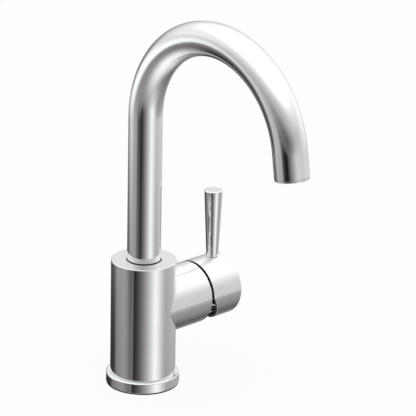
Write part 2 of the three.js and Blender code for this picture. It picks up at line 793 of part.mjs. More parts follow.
/** The hollow hub: its boss grips the stem, its side takes the lever, its lower rim is relieved. */
function hub() {
  const outside = turned([
    [0, hubStart],
    ...arc(stubRadius - hubRimEdge, hubStart + hubRimEdge, hubRimEdge, -90, 0, 1),
    ...arc(stubRadius - hubEdgeRadius, hubEnd - hubEdgeRadius, hubEdgeRadius, 0, 90),
    [0, hubEnd],
  ]);
  const cavity = bar(hubBore, hubStart - cutMargin, hubEnd - hubEndWall);
  const boss = bar(bossRadius, bossStart, hubEnd - hubEndWall / 2);
  const stemSocket = block(
    stemWidth + 2 * fitGap, stemWidth + 2 * fitGap, bossStart - cutMargin, stemEnd + fitGap,
  );
  const leverBoss = bar(leverStudDiameter / 2 + fitGap + leverBossWall, 0, stubRadius - hubWall / 2);
  const studHole = bar(
    leverStudDiameter / 2 + fitGap,
    stubRadius - leverSinkDepth - leverStudLength,
    stubRadius + cutMargin,
  );
  const sink = bar(leverBaseDiameter / 2 + fitGap, stubRadius - leverSinkDepth, stubRadius + cutMargin);
  const gripHole = bar(gripScrewDiameter / 2 + fitGap, -stubRadius - cutMargin, -stemHalf);
  const atLever = (shape) => shape.translate([leverDistance, 0, 0]);

  const reliefDrop = stubRadius + cutMargin;
  const reliefRun = (reliefDrop + reliefRise) * Math.tan(radians(reliefAngle));
  const relief = drawnOut([
    [hubStart, reliefRise],
    [hubStart - cutMargin, reliefRise],
    [hubStart - cutMargin, -reliefDrop],
    [hubStart + reliefRun, -reliefDrop],
  ], -reliefDrop, reliefDrop).rotate([90, 0, 0]);

  const shell = cut(alongX(outside), alongX(cavity));
  return cut(
    joined(shell, atLever(leverBoss), alongX(boss)),
    alongX(stemSocket),
    atLever(studHole),
    atLever(sink),
    gripHole.translate([bossStart + gripScrewInset, 0, 0]),
    relief,
  );
}

/** The tapered lever and the stud under it. */
function lever() {
  const foot = stubRadius - leverSinkDepth + fitGap;
  const top = foot + leverLength;
  const topRadius = leverTopDiameter / 2;
  const studRadius = leverStudDiameter / 2;
  return turned([
    [0, foot + fitGap - leverStudLength],
    [studRadius, foot + fitGap - leverStudLength],
    [studRadius, foot],
    [leverBaseDiameter / 2, foot],
    ...arc(topRadius - leverEdgeRadius, top - leverEdgeRadius, leverEdgeRadius, 0, 90),
    [0, top],
  ]).translate([leverDistance, 0, 0]);
}

/** The screw that locks the hub on the stem, from below. */
function gripScrew() {
  const top = -stemHalf - fitGap;
  const bottom = top - gripScrewLength;
  const socket = drawnOut(hexagon(gripScrewDiameter / 2), bottom - cutMargin, bottom + gripScrewLength / 2);
  return cut(bar(gripScrewDiameter / 2, bottom, top), socket)
    .translate([bossStart + gripScrewInset, 0, 0]);
}

/** The hub, the lever and the screw. */
function addHandle(group) {
  addPiece(group, 'handle_hub', chrome, hub());
  addPiece(group, 'lever', chrome, lever());
  addPiece(group, 'handle_set_screw', steel, gripScrew());
}

// ---------------------------------------------------------------- the faucet

addBase(faucet);
addInlets(faucet);
addBody(faucet);
addRetainingScrew(faucet);
addSpout(faucet);

const valve = new THREE.Group();
valve.position.z = valveHeight;
addCartridgeBase(valve);
addDiscs(valve);
addHousing(valve);
addTurret(valve);
addStem(valve);
addRetainer(valve);
addHandle(valve);
faucet.add(valve);

export default faucet;
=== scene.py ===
"""The looks of a single-lever gooseneck bar faucet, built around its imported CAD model.

Sizes are written in millimetres, as in the part's source, and become metres where a mesh is made.
Only the floor and the camera are placed in metres. Each shape is a set of patches: a patch is a grid
of points, with the surface's own normal at each point, worked out from a formula. Patches that meet
are welded into one closed mesh.
"""

import json
import logging
import math
from dataclasses import astuple, dataclass
from enum import Enum
from typing import Sequence

import bpy
import numpy as np
from mathutils import Matrix, Vector


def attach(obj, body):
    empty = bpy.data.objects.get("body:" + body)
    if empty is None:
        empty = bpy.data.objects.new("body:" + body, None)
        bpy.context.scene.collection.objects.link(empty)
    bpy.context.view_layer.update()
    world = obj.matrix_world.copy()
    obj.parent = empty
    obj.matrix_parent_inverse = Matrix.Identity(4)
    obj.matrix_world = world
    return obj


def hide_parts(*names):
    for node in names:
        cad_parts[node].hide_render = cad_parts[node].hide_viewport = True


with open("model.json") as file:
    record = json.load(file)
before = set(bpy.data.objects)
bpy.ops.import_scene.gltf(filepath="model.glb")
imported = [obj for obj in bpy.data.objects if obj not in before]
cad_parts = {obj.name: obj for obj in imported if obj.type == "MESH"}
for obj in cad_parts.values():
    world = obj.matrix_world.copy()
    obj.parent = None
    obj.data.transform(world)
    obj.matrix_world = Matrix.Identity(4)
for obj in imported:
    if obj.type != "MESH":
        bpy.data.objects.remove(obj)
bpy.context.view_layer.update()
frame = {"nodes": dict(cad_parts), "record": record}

MM = 0.001  # metres
DEGREE = 180 / math.pi  # degrees in a radian
WELD = 1e-4  # millimetres: points nearer than this are one point
SHARP = math.radians(35)  # an edge that turns by more than this is sharp

AXIS_HEIGHT = 60.3  # of the stub's axis, about which the handle turns
RING_TOP = 9.2  # of the base ring, where the body's wall starts
SHANK_HOLE = 15.81  # the radius of every bore round the shank

log = logging.getLogger("faucet")

Point = tuple[float, float, float]
Rgb = tuple[float, float, float]
Ring = tuple[float, float]  # a radius and a distance
Span = tuple[float, float]  # two places that something lies between
Run = tuple[np.ndarray, np.ndarray]  # points, and the normal at each
Line = tuple[np.ndarray, np.ndarray]  # angles round an axis, and places along it


class Body(str, Enum):
    """The CAD bodies that pieces ride on."""

    FIXED = "body"
    SPOUT = "spout"
    HANDLE = "handle"


class Slot(str, Enum):
    """The record's material slots, each with a finish of the same name."""

    CHROME = "polished_chrome"
    BRASS = "bare_brass"
    STEEL = "plain_steel"
    RUBBER = "black_rubber"
    CERAMIC = "disc_ceramic"
    WHITE_PLASTIC = "white_plastic"
    GREY_PLASTIC = "grey_plastic"
    BLACK_PLASTIC = "black_plastic"


# ---------------------------------------------------------------- shaders


class Signal:
    """One shader socket that takes part in sums like a number, by adding Math nodes."""

    def __init__(self, net: "Net", socket: bpy.types.NodeSocket) -> None:
        """Wraps a socket of a net."""
        self.net = net
        self.socket = socket

    def beside(self, output: str) -> "Signal":
        """Another output of the node that this one comes from."""
        return Signal(self.net, self.socket.node.outputs[output])

    def math(self, operation: str, *others: "Signal | float") -> "Signal":
        """This signal through one Math node, with the others as its further inputs."""
        values = dict(enumerate((self, *others)))
        return self.net.node("ShaderNodeMath", {"operation": operation}, values)

    def __add__(self, other: "Signal | float") -> "Signal":
        """The sum."""
        return self.math("ADD", other)

    __radd__ = __add__

    def __sub__(self, other: "Signal | float") -> "Signal":
        """The difference."""
        return self.math("SUBTRACT", other)

    def __rsub__(self, other: float) -> "Signal":
        """A number less this signal."""
        return self * -1.0 + other

    def __mul__(self, other: "Signal | float") -> "Signal":
        """The product."""
        return self.math("MULTIPLY", other)

    __rmul__ = __mul__

    def __pow__(self, other: "Signal | float") -> "Signal":
        """This signal raised to a power."""
        return self.math("POWER", other)

    def rising(self, low: float, high: float) -> "Signal":
        """0 below low and 1 above high, with a smooth step between them."""
        values = {"Value": self, "From Min": low, "From Max": high}
        return self.net.node("ShaderNodeMapRange", {"interpolation_type": "SMOOTHSTEP"}, values)

    def falling(self, low: float, high: float) -> "Signal":
        """1 below low and 0 above high, with a smooth step between them."""
        return (self * -1.0).rising(-high, -low)

    def wrapped(self) -> "Signal":
        """An angle in degrees, brought between minus and plus a half turn."""
        return self.math("WRAP", 180.0, -180.0)

    def towards(self, other: "Signal | float", share: "Signal") -> "Signal":
        """This signal, moved towards another by a share."""
        return self + (self * -1.0 + other) * share


class Net:
    """A node tree with one method that adds any node."""

    def __init__(self, tree: bpy.types.NodeTree) -> None:
        """Empties the tree and keeps it."""
        tree.nodes.clear()
        self.tree = tree

    def node(
        self,
        kind: str,
        settings: dict[str, object] | None = None,
        values: dict[str | int, object] | None = None,
        output: str | int = 0,
    ) -> Signal:
        """Adds a node.

        Args:
            kind: The node's type.
            settings: Its properties, set first.
            values: Its inputs by name or number, each a Signal, a number or a tuple.
            output: The output to return, by name or number.

        Returns:
            The chosen output.
        """
        made = self.tree.nodes.new(kind)
        for name, value in (settings or {}).items():
            setattr(made, name, value)
        for key, value in (values or {}).items():
            if isinstance(value, Signal):
                self.tree.links.new(value.socket, made.inputs[key])
            else:
                made.inputs[key].default_value = value
        return Signal(self, made.outputs[output] if made.outputs else None)

    def mix(self, share: Signal, first: object, second: object) -> Signal:
        """The colour that lies between two colours by this share."""
        settings = {"data_type": "RGBA", "clamp_factor": True}
        return self.node("ShaderNodeMix", settings, {0: share, 6: first, 7: second}, 2)

    def noise(self, place: Signal, scale: float, detail: float = 2.0) -> Signal:
        """Cloudy noise from 0 to 1, at this many clouds a metre."""
        values = {"Vector": place, "Scale": scale, "Detail": detail, "Roughness": 0.5}
        return self.node("ShaderNodeTexNoise", {"noise_dimensions": "3D"}, values)

    def stretched(self, place: Signal, stretch: Point) -> Signal:
        """Places scaled by an amount along each direction."""
        return self.node("ShaderNodeMapping", {"vector_type": "POINT"}, {"Vector": place, "Scale": stretch})


@dataclass(frozen=True)
class Finish:
    """A finish of the faucet: the sizes of what its surface shows.

    Fields:
        slot: The record's material slot, and the Blender material's name.
        color: The base colour.
        shade: The colour that drifts in over the surface by cloudy noise.
        drift: How far towards shade it drifts.
        roughness: The middle of its roughness.
        haze: How far the roughness wanders from its middle.
        cloud: Clouds of the drift and the haze, a metre.
        metallic: 1 for a metal.
        relief: Depth of its fine relief, in millimetres.
        grain: Grains of the fine relief, a metre.
        stretch: How much closer the grains lie along x, y and z.
        onset: The levels of the noise between which the drift sets in.
    """

    slot: Slot
    color: Rgb
    shade: Rgb
    drift: float
    roughness: float
    haze: float
    cloud: float
    metallic: float
    relief: float
    grain: float
    stretch: Point = (1.0, 1.0, 1.0)
    onset: Span = (0.35, 0.7)

    def extra(self, net: Net, place: Signal) -> Signal | float:
        """Roughness that it has more in some places: here none."""
        return 0.0

    def material(self) -> bpy.types.Material:
        """Makes the procedural material of this finish.

        Returns:
            The material.
        """
        made = bpy.data.materials.new(self.slot.value)
        made.use_nodes = True
        net = Net(made.node_tree)
        place = net.node("ShaderNodeTexCoord", {}, {}, "Object")
        clouds = net.noise(place, self.cloud, detail=3.0)
        fine = net.noise(net.stretched(place, self.stretch), self.grain)
        share = clouds.rising(*self.onset) * self.drift
        roughness = (clouds - 0.5) * (2 * self.haze) + (fine - 0.5) * self.haze + self.roughness
        relief = {"Strength": 1.0, "Distance": self.relief * MM, "Height": fine}
        values = {
            "Base Color": net.mix(share, (*self.color, 1.0), (*self.shade, 1.0)),
            "Roughness": roughness + self.extra(net, place),
            "Metallic": self.metallic,
            "Normal": net.node("ShaderNodeBump", {}, relief),
        }
        shader = net.node("ShaderNodeBsdfPrincipled", {}, values)
        net.node("ShaderNodeOutputMaterial", {}, {"Surface": shader})
        return made


@dataclass(frozen=True)
class BendFinish(Finish):
    """A finish that is duller on the inner side of a bend.

    Fields:
        centre: The y and z of the bend's axis, which runs along x, in millimetres.
        reach: The distances from that axis between which the dullness fades out.
        rise: The heights between which it fades in.
        back: The places along y between which it fades in.
        dullness: The roughness that it adds.
    """

    centre: Span = (0.0, 0.0)
    reach: Span = (64.0, 69.0)
    rise: Span = (212.0, 235.0)
    back: Span = (-62.0, -40.0)
    dullness: float = 0.22

    def extra(self, net: Net, place: Signal) -> Signal:
        """The dullness times a smooth step of the distance from the bend's axis, of z and of y.

        Args:
            net: The material's nodes.
            place: Object coordinates, in metres.

        Returns:
            What it adds to the roughness.
        """
        split = net.node("ShaderNodeSeparateXYZ", {}, {0: place})
        y, z = (split.beside(axis) * (1 / MM) for axis in "YZ")
        across, upward = y - self.centre[0], z - self.centre[1]
        from_axis = (across * across + upward * upward) ** 0.5
        inner = from_axis.falling(*self.reach)
        return inner * z.rising(*self.rise) * y.rising(*self.back) * self.dullness


CHROME = Finish(
    slot=Slot.CHROME, color=(0.86, 0.865, 0.87), shade=(0.83, 0.83, 0.83), drift=0.6,
    roughness=0.06, haze=0.012, cloud=45, metallic=1.0, relief=0.0002, grain=900,
)
FINISHES = (
    CHROME,
    Finish(
        slot=Slot.BRASS, color=(0.72, 0.53, 0.26), shade=(0.52, 0.36, 0.17), drift=0.7,
        roughness=0.3, haze=0.08, cloud=90, metallic=1.0, relief=0.01, grain=900, stretch=(1, 1, 6),
    ),
    Finish(
        slot=Slot.STEEL, color=(0.56, 0.57, 0.58), shade=(0.44, 0.44, 0.44), drift=0.5,
        roughness=0.32, haze=0.06, cloud=120, metallic=1.0, relief=0.008, grain=1500, stretch=(1, 1, 4),
    ),
    Finish(
        slot=Slot.RUBBER, color=(0.018, 0.018, 0.019), shade=(0.035, 0.034, 0.033), drift=0.8,
        roughness=0.62, haze=0.1, cloud=160, metallic=0.0, relief=0.02, grain=2500,
    ),
    Finish(
        slot=Slot.CERAMIC, color=(0.85, 0.84, 0.8), shade=(0.78, 0.76, 0.71), drift=0.5,
        roughness=0.22, haze=0.03, cloud=110, metallic=0.0, relief=0.002, grain=3000,
    ),
    Finish(
        slot=Slot.WHITE_PLASTIC, color=(0.76, 0.76, 0.74), shade=(0.7, 0.7, 0.67), drift=0.5,
        roughness=0.42, haze=0.05, cloud=90, metallic=0.0, relief=0.01, grain=2200,
    ),
    Finish(
        slot=Slot.GREY_PLASTIC, color=(0.15, 0.16, 0.175), shade=(0.12, 0.125, 0.135), drift=0.5,
        roughness=0.46, haze=0.05, cloud=90, metallic=0.0, relief=0.01, grain=2200,
    ),
    Finish(
        slot=Slot.BLACK_PLASTIC, color=(0.012, 0.012, 0.013), shade=(0.02, 0.02, 0.021), drift=0.6,
        roughness=0.28, haze=0.05, cloud=90, metallic=0.0, relief=0.006, grain=2200,
    ),
)


# ---------------------------------------------------------------- shapes


@dataclass(frozen=True)
class Axis:
    """A turning axis: a point on it, its direction, and the direction of its zero angle."""

    origin: Point
    along: Point
    zero: Point

    def turn(self, out: np.ndarray, angle: np.ndarray, up: np.ndarray) -> np.ndarray:
        """Works out directions: out times the cosine and the sine of the angle, and up along the axis.

        Args:
            out: Their parts square to the axis.
            angle: Their angles round it, in radians.
            up: Their parts along it.

        Returns:
            The directions, as many as the three together make.
        """
        along, zero = np.array(self.along, float), np.array(self.zero, float)
        side = np.cross(along, zero)
        out, angle, up = np.broadcast_arrays(out, angle, up)
        return (
            (out * np.cos(angle))[..., None] * zero
            + (out * np.sin(angle))[..., None] * side
            + up[..., None] * along
        )

    def place(self, radius: np.ndarray, angle: np.ndarray, height: np.ndarray) -> np.ndarray:
        """Points at a radius, an angle in radians and a height along the axis."""
        return self.turn(radius, angle, height) + np.array(self.origin, float)


UPRIGHT = Axis((0, 0, 0), (0, 0, 1), (1, 0, 0))


def full_turn(sides: int = 96) -> np.ndarray:
    """Angles of a whole turn, in radians, the last on the first."""
    return np.linspace(0, 2 * math.pi, sides + 1)


def lerp(first: np.ndarray, second: np.ndarray, share: np.ndarray) -> np.ndarray:
    """What lies between first and second by this share."""
    return first + (second - first) * share


def slerp(first: np.ndarray, second: np.ndarray, share: np.ndarray) -> np.ndarray:
    """Turns evenly from first to second: sin((1-t)w)/sin w of the one and sin(tw)/sin w of the other.

    Args:
        first: Unit directions.
        second: As many, at angles w to them.
        share: How far to turn, the t of the formula.

    Returns:
        Unit directions.
    """
    angle = np.arccos(np.clip((first * second).sum(-1, keepdims=True), -1.0, 1.0))
    angle = np.maximum(angle, 1e-6)
    return (np.sin((1 - share) * angle) * first + np.sin(share * angle) * second) / np.sin(angle)


def border(span: Span, low: np.ndarray, high: np.ndarray, across: np.ndarray, steps: np.ndarray) -> Line:
    """Goes round a window in a wall: up its right side, back along the top, down and along.

    Args:
        span: The first and last of its angles.
        low: Its lowest place at each angle across.
        high: Its greatest place at each angle across.
        across: The angles of the span, both ends among them.
        steps: The shares of the height at which its upright sides have points.

    Returns:
        The border's points in order, the last on the first.
    """
    left, right = (np.full(len(steps), angle) for angle in span)
    angle = np.concatenate([right, across[::-1][1:], left[1:], across[1:]])
    rise, fall = lerp(low[-1], high[-1], steps), lerp(low[0], high[0], steps[::-1])
    return angle, np.concatenate([rise, high[::-1][1:], fall[1:], low[1:]])


class Outline:
    """A cross-section beside a turning axis, as runs of points with their normals.

    The corners are (radius, height, edge radius), in order with the metal on their left. Every corner
    with an edge radius becomes a round of that radius, tangent to both of its sides.
    """

    def __init__(self, corners: Sequence[Point], closed: bool = False, steps: int = 5) -> None:
        """Works out the runs.

        Args:
            corners: The (radius, height, edge radius) corners.
            closed: Whether the last corner is joined to the first.
            steps: Sides of each rounded edge.
        """
        places = np.array(corners, float)
        self.steps = steps
        self.runs: list[Run] = []
        count = len(places)
        ends = [self._edge(places, i, closed) for i in range(count)]
        for i in range(count if closed else count - 1):
            start, stop = ends[i][0][-1], ends[(i + 1) % count][0][0]
            run = stop - start
            length = np.hypot(*run)
            if length > WELD:
                normal = np.array([run[1], -run[0]]) / length
                self.runs.append((np.stack([start, stop]), np.stack([normal, normal])))
            points, normals = ends[(i + 1) % count]
            if len(points) > 1:
                self.runs.append((points, normals))

    def _edge(self, places: np.ndarray, i: int, closed: bool) -> Run:
        """Rounds one corner: the round's centre plus its radius times normals that turn evenly.

        Args:
            places: All corners.
            i: The number of this one.
            closed: Whether the last corner is joined to the first.

        Returns:
            The round, or the corner itself where it stays sharp.
        """
        corner, size = places[i, :2], places[i, 2]
        if size == 0 or (not closed and i in (0, len(places) - 1)):
            return corner[None], corner[None] * 0
        before, after = corner - places[i - 1, :2], places[(i + 1) % len(places), :2] - corner
        before, after = before / np.hypot(*before), after / np.hypot(*after)
        turn = math.atan2(before[0] * after[1] - before[1] * after[0], before @ after)
        side = math.copysign(1.0, turn)
        first = np.array([before[1], -before[0]])
        start = corner - before * size * math.tan(abs(turn) / 2)
        angle = np.linspace(0, turn, self.steps + 1)
        cos, sin = np.cos(angle), np.sin(angle)
        normals = np.stack([first[0] * cos - first[1] * sin, first[0] * sin + first[1] * cos], -1)
        return start - side * size * first + side * size * normals, normals


class Skin:
    """A closed mesh that is put together from patches."""

    def __init__(self, name: str) -> None:
        """Starts an empty skin with the name of its piece."""
        self.name = name
        self._points: list[np.ndarray] = []
        self._normals: list[np.ndarray] = []
        self._faces: list[np.ndarray] = []
        self._count = 0

    def patch(self, points: np.ndarray, normals: np.ndarray) -> "Skin":
        """Adds a patch. Each cell of its grid becomes two triangles.

        Args:
            points: The grid.
            normals: The surface's outward normal at each point, or one for all.

        Returns:
            This skin.
        """
        rows, columns = points.shape[:2]
        ids = np.arange(rows * columns).reshape(rows, columns) + self._count
        a, b, c, d = ids[:-1, :-1], ids[1:, :-1], ids[1:, 1:], ids[:-1, 1:]
        self._faces += [np.stack([a, b, c], -1).reshape(-1, 3), np.stack([a, c, d], -1).reshape(-1, 3)]
        self._points.append(points.reshape(-1, 3))
        self._normals.append(np.broadcast_to(normals, points.shape).reshape(-1, 3))
        self._count += rows * columns
        return self

    def wall(
        self, axis: Axis, radius: float, angle: np.ndarray, height: np.ndarray, way: float = 1.0
    ) -> "Skin":
        """Adds a grid on a round wall about an axis, which faces out, or in where way is -1."""
        return self.patch(axis.place(radius, angle, height), axis.turn(way, angle, 0.0 * height))

    def carried(self, runs: Sequence[Run], axis: Axis, angles: np.ndarray) -> "Skin":
        """Adds runs of an outline carried round an axis: each of their points becomes a circle.

        Args:
            runs: The runs, in radii and heights.
            axis: What they turn about.
            angles: The angles at which the circles have points.

        Returns:
            This skin.
        """
        for points, normals in runs:
            self.patch(
                axis.place(points[:, :1], angles[None], points[:, 1:]),
                axis.turn(normals[:, :1], angles[None], normals[:, 1:]),
            )
        return self

    def turned(self, outline: Outline, axis: Axis, angles: np.ndarray) -> "Skin":
        """Adds a whole outline carried round an axis."""
        return self.carried(outline.runs, axis, angles)

    def _welded(self) -> tuple[np.ndarray, np.ndarray, np.ndarray]:
        """Joins the patches: points at the same place become one, and faces without an area go.

        Returns:
            The points, the three of them that each face joins, turned to agree with the normals
            given, and those normals.
        """
        points, normals = np.concatenate(self._points), np.concatenate(self._normals)
        faces = np.concatenate(self._faces)
        keys = np.round(points / WELD).astype(np.int64)
        _, first, weld = np.unique(keys, axis=0, return_index=True, return_inverse=True)
        points, corners = points[first], weld.reshape(-1)[faces]
        apart = (corners != np.roll(corners, 1, 1)).all(1)
        faces, corners = faces[apart], corners[apart]
        p = points[corners]
        facing = np.cross(p[:, 1] - p[:, 0], p[:, 2] - p[:, 0])
        away = (facing * normals[faces].sum(1)).sum(1) < 0
        faces[away] = faces[away][:, [0, 2, 1]]
        corners[away] = corners[away][:, [0, 2, 1]]
        return points, corners, normals[faces]

    def mesh(self) -> bpy.types.Mesh:
        """Makes the welded mesh, smooth but for its sharp edges, and logs whether it is closed.

        Returns:
            The mesh, in metres.
        """
        points, corners, normals = self._welded()
        mesh = bpy.data.meshes.new(self.name)
        mesh.vertices.add(len(points))
        mesh.vertices.foreach_set("co", (points * MM).astype(np.float32).ravel())
        mesh.loops.add(corners.size)
        mesh.polygons.add(len(corners))
        mesh.polygons.foreach_set("loop_start", np.arange(0, corners.size, 3, dtype=np.int32))
        mesh.polygons.foreach_set("vertices", corners.astype(np.int32).ravel())
        mesh.update(calc_edges=True)
        mesh.polygons.foreach_set("use_smooth", np.ones(len(corners), bool))
        mesh.set_sharp_from_angle(angle=SHARP)
        given = normals.reshape(-1, 3)
        mesh.normals_split_custom_set((given / np.linalg.norm(given, axis=1, keepdims=True)).tolist())

        sides = np.sort(np.stack([corners, np.roll(corners, 1, 1)], -1).reshape(-1, 2), 1)
        uses = np.unique(sides, axis=0, return_counts=True)[1]
        log.info("%s: %d triangles, %d open edges", self.name, len(corners), int((uses != 2).sum()))
        return mesh

    def thing(self) -> bpy.types.Object:
        """Puts the mesh into the scene.

        Returns:
            Its object.
        """
        made = bpy.data.objects.new(self.name, self.mesh())
        bpy.context.scene.collection.objects.link(made)
        return made


# ---------------------------------------------------------------- pieces


class Workshop:
    """Makes the finishes once and turns skins into pieces that ride on the CAD bodies."""

    def __init__(self) -> None:
        """Makes every finish."""
        self.materials = {finish.slot.value: finish.material() for finish in FINISHES}

    def piece(self, skin: Skin, slot: Slot, body: Body, *nodes: str) -> bpy.types.Object:
        """Makes a piece.

        Args:
            skin: Its shape.
            slot: The material slot that it takes its finish from.
            body: The CAD body that it rides on.
            nodes: The CAD nodes that it stands for.

        Returns:
            The piece.
        """
        made = skin.thing()
        made.data.materials.append(self.materials[slot.value])
        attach(made, body.value)
        if nodes:
            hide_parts(*nodes)
        return made

    def dress_nodes(self) -> None:
        """Gives every CAD node the finish of the record's slot that it belongs to."""
        for entry in frame["record"]["subparts"]:
            piece, slot = frame["nodes"][entry["node"]], entry["material_slot"]
            for place in piece.material_slots:
                place.material = self.materials[slot]
            log.info("%s: CAD node in %s", piece.name, slot)


@dataclass
class Base:
    """The gasket and the ring that the body stands in, the threaded shank and its clamp."""

    bore: float = SHANK_HOLE
    bore_edge: float = 0.2
    gasket_radius: float = 27.46
    gasket_top: float = 1.2
    gasket_edge: float = 0.3
    ring_radius: float = 27.76
    ring_top: float = RING_TOP
    ring_edge: float = 1.2
    ring_foot_edge: float = 0.25
    recess_radius: float = 21.91
    recess_floor: float = 4.9
    recess_edge: float = 0.15
    shank_radius: float = 15.51
    shank_bore: float = 12.51
    shank_bottom: float = -60.0
    shank_top: float = 22.2
    shank_chamfer: float = 1.2
    thread_pitch: float = 1.75
    thread_depth: float = 0.95
    thread_width: float = 1.25  # of the groove's wave, in depths
    thread_slope: float = 2.2
    thread_tilt: float = 2.0  # the steepest that its normals lean
    thread_rows: int = 6  # a pitch
    deck: float = 30.0
    rubber_radius: float = 25.01
    rubber_bottom: float = -33.0
    rubber_edge: float = 0.4
    steel_radius: float = 24.01
    steel_bottom: float = -35.0
    steel_edge: float = 0.25
    nut_flat: float = 20.51  # from the axis to the middle of a flat
    nut_bottom: float = -44.0
    nut_face: float = 1.015  # the radius of its end faces, over nut_flat
    nut_chamfer: float = 1.6  # how much the chamfer widens in a millimetre
    nut_tilt: float = 0.6  # how much the chamfer's normals lean
    nut_step: float = 0.4  # between the chamfer's rows
    nut_plain: float = 2.6  # from an end to where the flats are whole
    nut_rows: tuple[int, int] = (6, 4)  # of a chamfer and of the flats
    flat_sides: int = 24
    ring_sides: int = 160
    cover_sides: int = 192
    shank_sides: int = 72

    def _ring(self, name: str, radius: float, low: float, high: float, edge: float) -> Skin:
        """A flat ring round the shank with rounded edges."""
        corners = [(self.bore, low, edge), (radius, low, edge), (radius, high, edge), (self.bore, high, edge)]
        return Skin(name).turned(Outline(corners, closed=True), UPRIGHT, full_turn(self.ring_sides))

    def _cover(self) -> Skin:
        """Turns the ring under the body, with the recess that the body's foot stands in.

        Returns:
            The ring.
        """
        corners = [
            (self.bore, self.gasket_top, self.bore_edge),
            (self.ring_radius, self.gasket_top, self.ring_foot_edge),
            (self.ring_radius, self.ring_top, self.ring_edge),
            (self.recess_radius, self.ring_top, self.recess_edge),
            (self.recess_radius, self.recess_floor, 0),
            (self.bore, self.recess_floor, 0),
        ]
        outline = Outline(corners, closed=True, steps=10)
        return Skin("base_cover_ring").turned(outline, UPRIGHT, full_turn(self.cover_sides))

    @staticmethod
    def _bored(skin: Skin, radius: np.ndarray, angle: np.ndarray, height: np.ndarray, bore: float) -> Skin:
        """Closes a shape round the shank's axis with flat ends and a bore.

        Args:
            skin: What has its outside already.
            radius: The radii of that outside, by height and angle.
            angle: Its angles.
            height: Its heights.
            bore: The radius of the bore.

        Returns:
            The same skin.
        """
        for end, up in ((0, -1.0), (-1, 1.0)):
            rim = np.stack([radius[end], np.full_like(radius[end], bore)])
            skin.patch(UPRIGHT.place(rim, angle, height[end, 0]), np.array([0, 0, up]))
        return skin.wall(UPRIGHT, bore, angle, height[[0, -1]], -1.0)

    def _shank(self) -> Skin:
        """Cuts the threaded shank.

        Its radius at a height and an angle is the outer radius less the groove or the chamfer,
        whichever is deeper. The groove is the thread's depth times a triangle wave of height / pitch
        less angle / turn, flattened at its top and bottom.

        Returns:
            The shank.
        """
        rows = int((self.shank_top - self.shank_bottom) / self.thread_pitch * self.thread_rows)
        height = np.linspace(self.shank_bottom, self.shank_top, rows + 1)[:, None]
        angle = full_turn(self.shank_sides)[None]
        wave = (height / self.thread_pitch - angle / (2 * math.pi)) % 1.0
        groove = np.clip(self.thread_width - np.abs(wave * 2 - 1) * self.thread_slope, 0, 1)
        end = np.minimum(height - self.shank_bottom, self.shank_top - height)
        chamfer = np.clip(self.shank_chamfer - end, 0, self.shank_chamfer)
        radius = self.shank_radius - np.maximum(self.thread_depth * groove, chamfer)
        slope = np.gradient(radius, height[:, 0], axis=0)
        lean = -np.clip(slope, -self.thread_tilt, self.thread_tilt)
        skin = Skin("threaded_shank")
        skin.patch(UPRIGHT.place(radius, angle, height), UPRIGHT.turn(1.0, angle, lean))
        return self._bored(skin, radius, angle, height, self.shank_bore)

    def _locknut(self) -> Skin:
        """Cuts the hexagon nut: each radius is the lesser of the flat's, w / cos a, and a chamfer cone's.

        Returns:
            The nut.
        """
        sixth = math.pi / 3
        angle = full_turn(6 * self.flat_sides)[None]
        from_flat = (angle + sixth / 2) % sixth - sixth / 2
        flat = self.nut_flat / np.cos(from_flat)
        low, tall = self.nut_bottom, self.steel_bottom - self.nut_bottom
        chamfer = np.arange(self.nut_rows[0]) * self.nut_step
        middle = np.linspace(self.nut_plain, tall - self.nut_plain, self.nut_rows[1])
        height = np.concatenate([chamfer, middle, tall - chamfer[::-1]])[:, None]
        end = np.minimum(height, tall - height)
        radius = np.minimum(flat, self.nut_flat * self.nut_face + end * self.nut_chamfer)
        cone = radius < flat - WELD / 100
        out = np.where(cone, angle, angle - from_flat)
        tilt = np.where(cone, self.nut_tilt, 0.0) * np.where(height < tall / 2, -1, 1)
        skin = Skin("clamp_locknut")
        skin.patch(UPRIGHT.place(radius, angle, height + low), UPRIGHT.turn(1.0, out, tilt))
        return self._bored(skin, radius, angle, height + low, self.bore)

    def build(self, shop: Workshop) -> None:
        """Makes the pieces of the base.

        Args:
            shop: Where they are made.
        """
        gasket = self._ring("base_gasket_ring", self.gasket_radius, 0.0, self.gasket_top, self.gasket_edge)
        rubber = self._ring(
            "deck_washer_rubber", self.rubber_radius, self.rubber_bottom, -self.deck, self.rubber_edge
        )
        steel = self._ring(
            "deck_washer_steel", self.steel_radius, self.steel_bottom, self.rubber_bottom, self.steel_edge
        )
        shop.piece(gasket, Slot.RUBBER, Body.FIXED, "base_gasket")
        shop.piece(self._cover(), Slot.CHROME, Body.FIXED, "base_ring")
        under = (
            shop.piece(rubber, Slot.RUBBER, Body.FIXED, "deck_rubber_washer"),
            shop.piece(steel, Slot.STEEL, Body.FIXED, "deck_steel_washer"),
            shop.piece(self._shank(), Slot.BRASS, Body.FIXED, "mounting_shank"),
            shop.piece(self._locknut(), Slot.BRASS, Body.FIXED, "mounting_locknut"),
        )
        for piece in under:
            piece.visible_glossy = False  # the deck, which the metal doesn't see, would hide them


